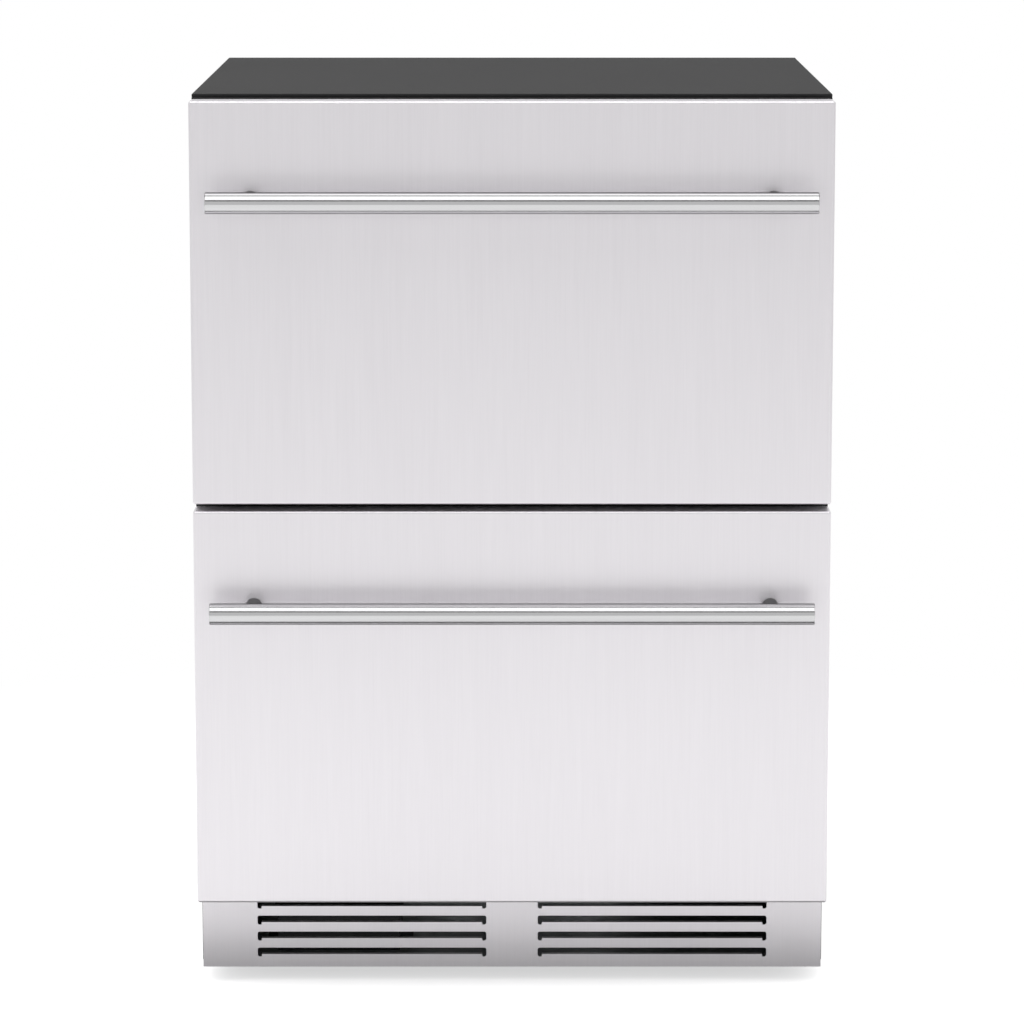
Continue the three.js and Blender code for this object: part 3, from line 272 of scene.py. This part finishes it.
lamp_aim = 0.45  # height of the point that they face
soft_lamp("ceiling_lamp", (0, -0.4, 3.8), (9.0, 9.0), 112, shows=True)
soft_lamp("overhead_lamp", (-0.6, -0.9, 3.2), (2.6, 2.6), 24)
soft_lamp("front_lamp", (-0.4, -4.2, 1.5), (3.0, 2.0), 28)
soft_lamp("left_lamp", (-3.0, -1.6, 1.8), (1.6, 2.2), 22)
soft_lamp("right_lamp", (3.2, -0.6, 1.6), (1.6, 2.2), 20)
soft_lamp("rear_lamp", (-1.2, 3.2, 2.0), (2.0, 2.0), 28)

# ---------------------------------------------------------------------------------------------------------
# Levelling legs. Each is turned from zinc-plated steel: a round foot with a threaded stem that screws into
# a boss of the base pan.

def zinc():
    finish = Finish("zinc")
    grain = finish.noise((260, 260, 260), 3, 0.6)
    smudge = finish.noise((14, 14, 14), 2)
    return finish.close(finish.principled(
        Base_Color=finish.mix(smudge, (0.60, 0.62, 0.64), (0.70, 0.71, 0.72)),
        Metallic=1.0,
        Roughness=0.22 + 0.2 * grain,
        Normal=finish.bump(grain, 0.12, 0.0002),
    ))


zinc_steel = zinc()


def settle(piece, material, body, *nodes):
    """Gives a finished piece its material and its body, and hides the nodes it stands for."""
    piece.data.materials.clear()
    piece.data.materials.append(material)
    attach(piece, body)
    if nodes:
        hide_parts(*nodes)


def soften(piece, edge=0.0004, steps=2, angle=32):
    """Breaks a piece's edges and keeps its flat faces flat."""
    piece.data.polygons.foreach_set("use_smooth", [True] * len(piece.data.polygons))
    if edge:
        bevel = piece.modifiers.new("edges", "BEVEL")
        bevel.width = edge
        bevel.segments = steps
        bevel.limit_method = "ANGLE"
        bevel.angle_limit = radians(angle)
        bevel.use_clamp_overlap = True
        flat = piece.modifiers.new("flat_faces", "WEIGHTED_NORMAL")
        flat.weight = 100
        flat.keep_sharp = True
    else:
        piece.data.set_sharp_from_angle(angle=radians(angle))
    return piece


def turned(name, profile, start, along, steps=48):
    """A solid of revolution through (radius, distance) pairs along a line. A radius of 0 closes an end."""
    shell = bmesh.new()
    along = Vector(along).normalized()
    side = along.orthogonal().normalized()
    other = along.cross(side)
    rows = []
    for radius, distance in profile:
        centre = Vector(start) + along * distance
        if radius == 0:
            rows.append([shell.verts.new(centre)])
            continue
        turns = (2 * pi * step / steps for step in range(steps))
        rows.append([shell.verts.new(centre + radius * (cos(t) * side + sin(t) * other)) for t in turns])
    for row, after in zip(rows, rows[1:]):
        for step in range(steps):
            corners = [row[step % len(row)], row[(step + 1) % len(row)]]
            corners += [after[(step + 1) % len(after)], after[step % len(after)]]
            shell.faces.new(list(dict.fromkeys(corners)))
    bmesh.ops.recalc_face_normals(shell, faces=shell.faces)
    return new_piece(name, shell)


hands = ("left", "right")
thread_pitch = 0.0015
thread_depth = 0.0006
foot_chamfer = 0.0012
foot_edge = 0.0062  # height of the foot's rim
foot_neck = 0.0085  # radius where the foot's cone meets the stem
stem_start = 0.010  # height above the floor
stem_radius = 0.005
leg_steps = 32

for end in ("front", "rear"):
    for hand in hands:
        node = f"{end}_{hand}_leg"
        low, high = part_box(node)
        centre = ((low.x + high.x) / 2, (low.y + high.y) / 2, low.z)
        foot_radius = (high.y - low.y) / 2
        profile = [
            (0, 0),
            (foot_radius - foot_chamfer, 0),
            (foot_radius, foot_chamfer),
            (foot_radius, foot_edge),
            (foot_radius - foot_chamfer, foot_edge + foot_chamfer),
            (foot_neck, stem_start - foot_chamfer),
            (foot_neck, stem_start),
            (stem_radius - thread_depth, stem_start),
        ]
        turns = int((high.z - stem_start) / thread_pitch)
        for turn in range(turns):
            z = stem_start + turn * thread_pitch
            profile.append((stem_radius, z + thread_pitch / 2))
            profile.append((stem_radius - thread_depth, z + thread_pitch))
        profile.append((0, stem_start + turns * thread_pitch))
        leg = turned(f"{node}_turned", profile, centre, (0, 0, 1), leg_steps)
        settle(soften(leg, 0, angle=28), zinc_steel, node, node)


# ---------------------------------------------------------------------------------------------------------
# Base pan. Galvanised steel, folded up along both sides, with welded leg bosses, corner tabs that the kick
# plate is screwed to, and a baffle that parts the warm air from the fresh.

def galvanised():
    finish = Finish("galvanised")
    cells = finish.node("Mapping", {}, {"Vector": finish.place(), "Scale": (95, 95, 95)})
    sockets = {"Vector": cells, "Scale": 1, "Randomness": 1}
    spangle = finish.node("TexVoronoi", {"feature": "F1"}, sockets, "Color")
    flake = finish.node("SeparateColor", {}, {0: spangle})
    cloud = finish.noise((6, 6, 6), 3)
    fine = finish.noise((900, 900, 900), 2)
    return finish.close(finish.principled(
        Base_Color=finish.mix(0.65 * flake + 0.35 * cloud, (0.36, 0.38, 0.40), (0.50, 0.52, 0.54)),
        Metallic=0.85,
        Roughness=0.36 + 0.16 * flake,
        Normal=finish.bump(fine, 0.08, 0.0002),
    ))


galvanised_steel = galvanised()
body_of = {node: body for body, nodes in frame["record"]["behaviour"]["bodies"].items() for node in nodes}


def dressed(node, material, edge=0.0004, steps=2, angle=32):
    """A CAD node's shape in its own material, with its triangles joined and its edges broken."""
    shell = bmesh.new()
    shell.from_mesh(frame["nodes"][node].data)
    bmesh.ops.remove_doubles(shell, verts=shell.verts, dist=1e-6)
    bmesh.ops.dissolve_limit(shell, angle_limit=radians(0.5), verts=shell.verts, edges=shell.edges)
    piece = soften(new_piece(f"{node}_dressed", shell), edge, steps, angle)
    settle(piece, material, body_of[node], node)


dressed("base_pan", galvanised_steel)


# ---------------------------------------------------------------------------------------------------------
# Machine bay. A hermetic compressor in a painted steel can, a finned copper condenser behind a moulded fan
# shroud, the filter drier with its capillary, the electrical box and the tray that catches meltwater.

def black_paint():
    finish = Finish("black_paint")
    peel = finish.noise((700, 700, 700), 2)
    cloud = finish.noise((9, 9, 9), 2)
    return finish.close(finish.principled(
        Base_Color=finish.mix(cloud, (0.005, 0.005, 0.0055), (0.010, 0.010, 0.0105)),
        Roughness=0.36 + 0.12 * peel,
        Normal=finish.bump(peel, 0.15, 0.0002),
    ))


def black_plastic():
    finish = Finish("black_plastic")
    spark = finish.noise((1500, 1500, 1500), 2)
    cloud = finish.noise((20, 20, 20), 2)
    return finish.close(finish.principled(
        Base_Color=finish.mix(cloud, (0.015, 0.016, 0.017), (0.024, 0.025, 0.026)),
        Roughness=0.42 + 0.2 * spark,
        Normal=finish.bump(spark, 0.25, 0.0002),
    ))


def copper():
    finish = Finish("copper")
    tarnish = finish.noise((45, 45, 45), 4, 0.6)
    return finish.close(finish.principled(
        Base_Color=finish.mix(tarnish ** 2, (0.80, 0.40, 0.26), (0.36, 0.16, 0.09)),
        Metallic=1.0,
        Roughness=0.22 + 0.3 * tarnish,
    ))


def coil_aluminium():
    finish = Finish("coil_aluminium")
    haze = finish.noise((60, 60, 60), 3)
    return finish.close(finish.principled(
        Base_Color=finish.mix(haze, (0.62, 0.64, 0.66), (0.76, 0.77, 0.78)),
        Metallic=1.0,
        Roughness=0.28 + 0.18 * haze,
    ))


black_enamel = black_paint()
black_moulding = black_plastic()
copper_tube = copper()
fin_aluminium = coil_aluminium()

dressed("compressor", black_enamel, 0.0008)
dressed("condenser_coil", copper_tube, 0, angle=50)
dressed("liquid_line", copper_tube, 0, angle=50)
dressed("drain_pan", black_moulding, 0.0006)
dressed("control_box", black_moulding, 0.0010, 3)
dressed("power_gland", black_moulding, 0.0008, 3)
for node in ("condenser_fan_shroud", "condenser_fan_rotor"):
    dressed(node, black_moulding, 0.0005)


def instanced(name, material, body, count, start, step, template):
    """Copies of a template in a row, placed by a geometry tree and turned into one plain mesh."""
    tree = bpy.data.node_groups.new(name, "GeometryNodeTree")
    number = tree.interface.new_socket("Count", in_out="INPUT", socket_type="NodeSocketInt")
    first = tree.interface.new_socket("Start", in_out="INPUT", socket_type="NodeSocketVector")
    stride = tree.interface.new_socket("Step", in_out="INPUT", socket_type="NodeSocketVector")
    tree.interface.new_socket("Geometry", in_out="OUTPUT", socket_type="NodeSocketGeometry")
    inputs = tree.nodes.new("NodeGroupInput")
    line = tree.nodes.new("GeometryNodeMeshLine")
    shape = tree.nodes.new("GeometryNodeObjectInfo")
    shape.inputs["Object"].default_value = template
    spread = tree.nodes.new("GeometryNodeInstanceOnPoints")
    real = tree.nodes.new("GeometryNodeRealizeInstances")
    painted = tree.nodes.new("GeometryNodeSetMaterial")
    painted.inputs["Material"].default_value = material
    output = tree.nodes.new("NodeGroupOutput")
    for source, target in (
        (inputs.outputs["Count"], line.inputs["Count"]),
        (inputs.outputs["Start"], line.inputs["Start Location"]),
        (inputs.outputs["Step"], line.inputs["Offset"]),
        (line.outputs["Mesh"], spread.inputs["Points"]),
        (shape.outputs["Geometry"], spread.inputs["Instance"]),
        (spread.outputs["Instances"], real.inputs["Geometry"]),
        (real.outputs["Geometry"], painted.inputs["Geometry"]),
        (painted.outputs["Geometry"], output.inputs["Geometry"]),
    ):
        tree.links.new(source, target)
    holder = new_piece(f"{name}_maker", bmesh.new())
    maker = holder.modifiers.new("copies", "NODES")
    maker.node_group = tree
    maker[number.identifier] = count
    maker[first.identifier] = start
    maker[stride.identifier] = step
    mesh = bpy.data.meshes.new_from_object(holder.evaluated_get(bpy.context.evaluated_depsgraph_get()))
    bpy.data.objects.remove(holder)
    bpy.data.objects.remove(template)
    piece = bpy.data.objects.new(name, mesh)
    scene.collection.objects.link(piece)
    settle(piece, material, body)


def block(name, low, high):
    """A box between two corners."""
    shell = bmesh.new()
    bmesh.ops.create_cube(shell, size=1)
    for vert in shell.verts:
        vert.co = [low[i] + (vert.co[i] + 0.5) * (high[i] - low[i]) for i in range(3)]
    return new_piece(name, shell)


low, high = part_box("compressor")
bay_middle = (low.y + high.y) / 2
fin_sheet = 0.00035
condenser_fins = 34
condenser_x = -0.170
condenser_half = 0.0195
condenser_run = 0.112
condenser_foot, condenser_head = 0.044, 0.206
condenser_fin = block(
    "condenser_fin",
    (-condenser_half, -fin_sheet, condenser_foot),
    (condenser_half, fin_sheet, condenser_head),
)
instanced(
    "condenser_fins", fin_aluminium, "root", condenser_fins,
    (condenser_x, bay_middle - condenser_run / 2, 0),
    (0, condenser_run / (condenser_fins - 1), 0),
    condenser_fin,
)

# ---------------------------------------------------------------------------------------------------------
# Rear of the cabinet. A galvanised rear panel and a slotted cover over the machine bay, fixed to the side
# panels by cross-head screws, with two plugs in the holes that the foam was injected through.

dressed("rear_panel", galvanised_steel, 0.0003)
dressed("machine_bay_cover", galvanised_steel, 0.0003)

screw_radius = 0.0040
screw_rise = 0.0014
screw_rim = 0.35  # share of the rise that is straight
screw_steps = 24
recess_reach = 0.0022
recess_width = 0.0005
recess_depth = 0.0009


def screw_template(name):
    """A low round head that faces +Y, with a cross cut into it."""
    profile = [(0, 0), (screw_radius, 0), (screw_radius, screw_rise * screw_rim)]
    for turn in (0.5, 0.9, 1.2):
        rise = screw_rim + (1 - screw_rim) * sin(turn)
        profile.append((screw_radius * cos(turn), screw_rise * rise))
    profile.append((0, screw_rise))
    head = turned(name, profile, (0, 0, 0), (0, 1, 0), screw_steps)
    arms = bmesh.new()
    for across, along in ((recess_reach, recess_width), (recess_width, recess_reach)):
        cut = bmesh.ops.create_cube(arms, size=2)["verts"]
        for vert in cut:
            vert.co = (vert.co.x * across, screw_rise + vert.co.y * recess_depth, vert.co.z * along)
    cross = new_piece(f"{name}_cross", arms)
    carve = head.modifiers.new("cross", "BOOLEAN")
    carve.operation = "DIFFERENCE"
    carve.solver = "EXACT"
    carve.use_self = True
    carve.object = cross
    mesh = bpy.data.meshes.new_from_object(head.evaluated_get(bpy.context.evaluated_depsgraph_get()))
    mesh.polygons.foreach_set("use_smooth", [True] * len(mesh.polygons))
    mesh.set_sharp_from_angle(angle=radians(35))
    for spare in (head, cross):
        bpy.data.objects.remove(spare)
    made = bpy.data.objects.new(name, mesh)
    scene.collection.objects.link(made)
    return made


def screw_row(name, count, x, panel, end_inset):
    """Screws at even steps up the back of a panel."""
    low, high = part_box(panel)
    start = (x, high.y, low.z + end_inset)
    end = (x, high.y, high.z - end_inset)
    step = tuple((b - a) / (count - 1) for a, b in zip(start, end))
    instanced(name, zinc_steel, "root", count, start, step, screw_template(f"{name}_head"))


side_inset = 0.009
rear_screws, rear_inset = 5, 0.03
cover_screws, cover_inset = 3, 0.02
low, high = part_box("rear_panel")
for hand, x in (("left", low.x + side_inset), ("right", high.x - side_inset)):
    screw_row(f"rear_screws_{hand}", rear_screws, x, "rear_panel", rear_inset)
    screw_row(f"cover_screws_{hand}", cover_screws, x, "machine_bay_cover", cover_inset)

plug_radius = 0.014
plug_side = 0.19
plug_level = 0.62
plug_profile = [
    (0, 0),
    (plug_radius, 0),
    (plug_radius, 0.0005),
    (plug_radius - 0.0006, 0.0011),
    (plug_radius - 0.003, 0.0013),
    (plug_radius - 0.0036, 0.0008),
    (0, 0.0008),
]
for hand, x in (("left", -plug_side), ("right", plug_side)):
    plug = turned(f"foam_plug_{hand}", plug_profile, (x, high.y, plug_level), (0, 1, 0))
    settle(soften(plug, 0, angle=40), black_moulding, "root")


# ---------------------------------------------------------------------------------------------------------
# Cabinet shell. Powder-coated steel in fine-textured dark grey: two side panels with a folded front edge,
# and a shallow top panel whose edges turn down over them.

def cabinet_paint():
    finish = Finish("cabinet_paint")
    grit = finish.noise((1100, 1100, 1100), 3, 0.6)
    cloud = finish.noise((5, 5, 5), 3)
    return finish.close(finish.principled(
        Base_Color=finish.mix(0.5 * grit + 0.5 * cloud, (0.008, 0.008, 0.0084), (0.018, 0.018, 0.0185)),
        Roughness=0.50 + 0.14 * grit,
        Specular_IOR_Level=0.22,
        Normal=finish.bump(grit, 0.3, 0.0002),
    ))


powder_coat = cabinet_paint()
for hand in hands:
    dressed(f"{hand}_side_panel", powder_coat, 0.00045, 3)
dressed("cabinet_floor", galvanised_steel, 0.0003)


def bent_sheet(name, points, faces, bend, thickness):
    """Sheet metal: flat faces joined by bends of one radius, thickened inward."""
    shell = bmesh.new()
    verts = [shell.verts.new(point) for point in points]
    for face in faces:
        shell.faces.new([verts[i] for i in face])
    piece = soften(new_piece(name, shell), bend, bend_steps)
    wall = piece.modifiers.new("wall", "SOLIDIFY")
    wall.thickness = thickness
    wall.offset = -1
    wall.use_even_offset = True
    piece.modifiers.move(len(piece.modifiers) - 1, 1)  # after the bends, before the normals
    return piece


def box_corners(low, high):
    """A box's corners: round its -Y side, counter-clockwise from the lower left, then round its +Y side."""
    square = ((low.x, low.z), (high.x, low.z), (high.x, high.z), (low.x, high.z))
    return [(x, y, z) for y in (low.y, high.y) for x, z in square]


sheet = 0.001
bend_steps = 4
top_bend = 0.0011
low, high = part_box("top_panel")
top_faces = [(3, 2, 6, 7), (0, 1, 2, 3), (1, 5, 6, 2), (5, 4, 7, 6), (4, 0, 3, 7)]
top_panel = bent_sheet("top_panel_folded", box_corners(low, high), top_faces, top_bend, sheet)
settle(top_panel, powder_coat, "root", "top_panel")


# ---------------------------------------------------------------------------------------------------------
# Foam and front frame. Rigid foam fills the space between the shell and the liner. The black steel front
# frame holds the liner's edge and gives the magnetic gaskets a face to close on.

seam_shade_level = 0.858  # height above which the foam is painted near-black, as painted shade behind the seam of the top panel


def foam():
    finish = Finish("foam")
    cells = finish.noise((420, 420, 420), 4, 0.7)
    cloud = finish.noise((11, 11, 11), 3)
    height = finish.node("SeparateXYZ", {}, {0: finish.place()}, "Z")
    # Painted shade: the foam's top, seen through the seam under the top panel, is coloured near-black
    unshaded = 1 - height.above(seam_shade_level)
    return finish.close(finish.principled(
        Base_Color=finish.mix(unshaded * (0.78 + 0.22 * cloud), (0.010, 0.010, 0.0105), (0.88, 0.79, 0.56)),
        Roughness=0.82 + 0.12 * cells,
        Normal=finish.bump(cells, 0.6, 0.0006),
    ))


rigid_foam = foam()
for node in ("cabinet_insulation", "upper_front_foam", "lower_front_foam"):
    frame["nodes"][node].material_slots[0].material = rigid_foam
dressed("front_frame", black_enamel, 0.0004)


# ---------------------------------------------------------------------------------------------------------
# Liner and evaporator. One white thermoformed liner with a step over the machine bay, and a white cover at
# its back that hides the coil and has a slotted grille in front of the fan.

def liner_plastic():
    finish = Finish("liner_plastic")
    peel = finish.noise((240, 240, 240), 2)
    cloud = finish.noise((4, 4, 4), 2)
    return finish.close(finish.principled(
        Base_Color=finish.mix(cloud, (0.76, 0.78, 0.78), (0.82, 0.83, 0.83)),
        Roughness=0.3 + 0.12 * peel,
        Normal=finish.bump(peel, 0.12, 0.0003),
    ))


white_moulding = liner_plastic()
dressed("inner_liner", white_moulding, 0.0009, 3)
dressed("evaporator_cover", white_moulding, 0.0008, 3)
dressed("evaporator_coil", fin_aluminium, 0, angle=50)
for node in ("evaporator_fan_motor", "evaporator_fan_rotor"):
    dressed(node, black_moulding, 0.0005)

evaporator_fins = 74
evaporator_run = 0.368
evaporator_front, evaporator_back = 0.2345, 0.2695
evaporator_foot, evaporator_head = 0.421, 0.599
evaporator_fin = block(
    "evaporator_fin",
    (-fin_sheet / 2, evaporator_front, evaporator_foot),
    (fin_sheet / 2, evaporator_back, evaporator_head),
)
instanced(
    "evaporator_fins", fin_aluminium, "root", evaporator_fins,
    (-evaporator_run / 2, 0, 0),
    (evaporator_run / (evaporator_fins - 1), 0, 0),
    evaporator_fin,
)

# ---------------------------------------------------------------------------------------------------------
# Control panel. A black moulding under the cavity's ceiling with a lamp lens, a dark display window and a
# row of keys, none of them lettered.

def display_window():
    finish = Finish("black_plastic")
    cloud = finish.noise((30, 30, 30), 2)
    return finish.close(finish.principled(
        Base_Color=finish.mix(cloud, (0.006, 0.007, 0.009), (0.010, 0.012, 0.015)),
        Roughness=0.05 + 0.05 * cloud,
    ))


dressed("control_panel", black_moulding, 0.0012, 3)
low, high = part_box("control_panel")
lens_half, lens_start, lens_end = 0.075, 0.012, 0.030
lens_proud = 0.0008
lens = block(
    "lamp_lens",
    (-lens_half, low.y + lens_start, low.z - lens_proud),
    (lens_half, low.y + lens_end, low.z + lens_proud),
)
settle(soften(lens, 0.0004), white_moulding, "root")

window_half, window_low, window_high = 0.022, 0.0036, 0.0086
window_proud = 0.0004
window = block(
    "display_window",
    (-window_half, low.y - window_proud, low.z + window_low),
    (window_half, low.y + window_proud, low.z + window_high),
)
settle(soften(window, 0.0002), display_window(), "root")

key_radius = 0.0022
key_steps = 20
key_count = 4
key_pitch = 0.010
key_level = low.z + (window_low + window_high) / 2
key_profile = [(0, 0), (key_radius, 0), (key_radius, 0.0005), (key_radius - 0.0005, 0.0008), (0, 0.0009)]
instanced(
    "panel_keys", white_moulding, "root", key_count,
    (window_half + key_pitch, low.y, key_level),
    (key_pitch, 0, 0),
    turned("panel_key", key_profile, (0, 0, 0), (0, -1, 0), key_steps),
)

# ---------------------------------------------------------------------------------------------------------
# Kick plate. Brushed stainless steel, screwed to the base pan's tabs. Each air slot is cut on three sides
# and its tongue folded back, which leaves a short open leg at both ends.

def stainless_front():
    finish = Finish("stainless_front")
    lines = finish.noise((650, 650, 12), 3, 0.65)
    streaks = finish.noise((60, 60, 4), 2)
    cloud = finish.noise((3, 3, 2), 2)
    grain = 0.6 * lines + 0.25 * streaks + 0.15 * cloud
    return finish.close(finish.principled(
        Base_Color=finish.mix(grain, (0.845, 0.82, 0.85), (0.95, 0.925, 0.955)),
        Metallic=0.9,
        Roughness=0.30 + 0.12 * lines,
        Normal=finish.bump(lines, 0.12, 0.0001),
    ))


brushed_steel = stainless_front()
dressed("kick_plate", brushed_steel, 0.0004)

# ---------------------------------------------------------------------------------------------------------
# Drawer fronts. Each is a pan of brushed stainless sheet, grain upright, with tight folds, filled with foam
# and closed at the back by a white liner that carries a magnetic gasket.

def gasket():
    finish = Finish("gasket")
    fine = finish.noise((800, 800, 800), 2)
    cloud = finish.noise((18, 18, 18), 2)
    return finish.close(finish.principled(
        Base_Color=finish.mix(cloud, (0.055, 0.057, 0.060), (0.085, 0.087, 0.090)),
        Roughness=0.6 + 0.2 * fine,
        Normal=finish.bump(fine, 0.2, 0.0002),
    ))


soft_seal = gasket()
drawers = ("upper", "lower")
front_bend = 0.0024
skin_lip = 0.012
pan_faces = [(0, 1, 2, 3), (1, 0, 4, 5), (2, 1, 5, 6), (3, 2, 6, 7), (0, 3, 7, 4)]
lip_faces = [(5, 4, 8, 9), (6, 5, 9, 10), (7, 6, 10, 11), (4, 7, 11, 8)]
lip_inset = Vector((skin_lip, 0, skin_lip))
for name in drawers:
    low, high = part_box(f"{name}_front_skin")
    lip_edge = box_corners(low + lip_inset, high - lip_inset)[4:]
    points = box_corners(low, high) + lip_edge
    skin = bent_sheet(f"{name}_front_folded", points, pan_faces + lip_faces, front_bend, sheet)
    settle(skin, brushed_steel, f"{name}_drawer", f"{name}_front_skin")
    dressed(f"{name}_door_liner", white_moulding, 0.0010, 3)
    dressed(f"{name}_gasket", soft_seal, 0.0010, 3)

# ---------------------------------------------------------------------------------------------------------
# Handles. A straight stainless bar, polished finer than the fronts, on two round standoffs that are
# shaped to its curve and bolted through the drawer front.

def stainless_bar(glancing_shade_tint):
    """Polished steel. The tint it returns at a glancing angle is set dark, as painted shade that darkens
    the reflections along its edges.
    """
    finish = Finish("stainless_bar")
    drawn = finish.noise((6, 900, 900), 3, 0.6)
    cloud = finish.noise((4, 30, 30), 2)
    return finish.close(finish.principled(
        Base_Color=finish.mix(0.6 * drawn + 0.4 * cloud, (0.67, 0.67, 0.68), (0.74, 0.74, 0.745)),
        Metallic=1.0,
        Roughness=0.07 + 0.07 * drawn,
        Specular_Tint=(glancing_shade_tint, glancing_shade_tint, glancing_shade_tint, 1),
        Normal=finish.bump(drawn, 0.03, 0.0001),
    ))


# Painted shade: the bar's copy returns almost no light at a glancing angle, which draws dark lines along
# its top and bottom. The standoffs' copy is set lighter, which lifts their shade
satin_steel = stainless_bar(0.02)
post_steel = stainless_bar(0.22)
bar_chamfer = 0.0005
bar_steps = 96
post_steps = 48
saddle_gap = 0.0001


def saddled_post(name, low, high, bar_axis, bar_radius):
    """A round standoff along Y, whose front end is cut to the bar's curve."""
    radius = (high.x - low.x) / 2
    middle = (low.x + high.x) / 2
    saddle = bar_radius + saddle_gap
    shell = bmesh.new()
    front, back = [], []
    for step in range(post_steps):
        turn = 2 * pi * step / post_steps
        x, z = radius * cos(turn), radius * sin(turn)
        curve = bar_axis.y + sqrt(saddle ** 2 - z ** 2)
        front.append(shell.verts.new((middle + x, curve, bar_axis.z + z)))
        back.append(shell.verts.new((middle + x, high.y, bar_axis.z + z)))
    centre = shell.verts.new((middle, bar_axis.y + saddle, bar_axis.z))
    for step in range(post_steps):
        after = (step + 1) % post_steps
        shell.faces.new((front[step], front[after], back[after], back[step]))
        shell.faces.new((centre, front[after], front[step]))
    shell.faces.new(back)
    bmesh.ops.recalc_face_normals(shell, faces=shell.faces)
    return new_piece(name, shell)


for name in drawers:
    low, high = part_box(f"{name}_handle_bar")
    radius = (high.z - low.z) / 2
    axis = (low + high) / 2
    length = high.x - low.x
    profile = [(0, 0), (radius - bar_chamfer, 0), (radius, bar_chamfer)]
    profile += [(radius, length - bar_chamfer), (radius - bar_chamfer, length), (0, length)]
    bar = turned(f"{name}_bar_turned", profile, (low.x, axis.y, axis.z), (1, 0, 0), bar_steps)
    settle(soften(bar, 0, angle=40), satin_steel, f"{name}_drawer", f"{name}_handle_bar")
    for hand in hands:
        node = f"{name}_{hand}_standoff"
        post = saddled_post(f"{node}_turned", *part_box(node), axis, radius)
        settle(soften(post, 0, angle=40), post_steel, f"{name}_drawer", node)


# ---------------------------------------------------------------------------------------------------------
# Drawers. Galvanised rails bolted to the door liner hold a clear moulded bin by its shoulders. A divider
# slides along the bin. Three-part zinc-plated slides carry the rails.

def bin_plastic():
    finish = Finish("bin_plastic")
    cloud = finish.noise((8, 8, 8), 2)
    ripple = finish.noise((40, 40, 12), 2)
    return finish.close(finish.principled(
        Base_Color=finish.mix(cloud, (0.86, 0.90, 0.91), (0.93, 0.95, 0.955)),
        Roughness=0.06 + 0.08 * cloud,
        Transmission_Weight=0.9,
        IOR=1.49,
        Normal=finish.bump(ripple, 0.05, 0.0005),
    ))


clear_moulding = bin_plastic()
for name in drawers:
    dressed(f"{name}_drawer_frame", galvanised_steel, 0.0004)
    dressed(f"{name}_bin", clear_moulding, 0.0007, 2)
    dressed(f"{name}_divider", clear_moulding, 0.0005)
    for hand in hands:
        for part in ("outer", "middle", "inner"):
            dressed(f"{name}_{hand}_slide_{part}", zinc_steel, 0.0004)
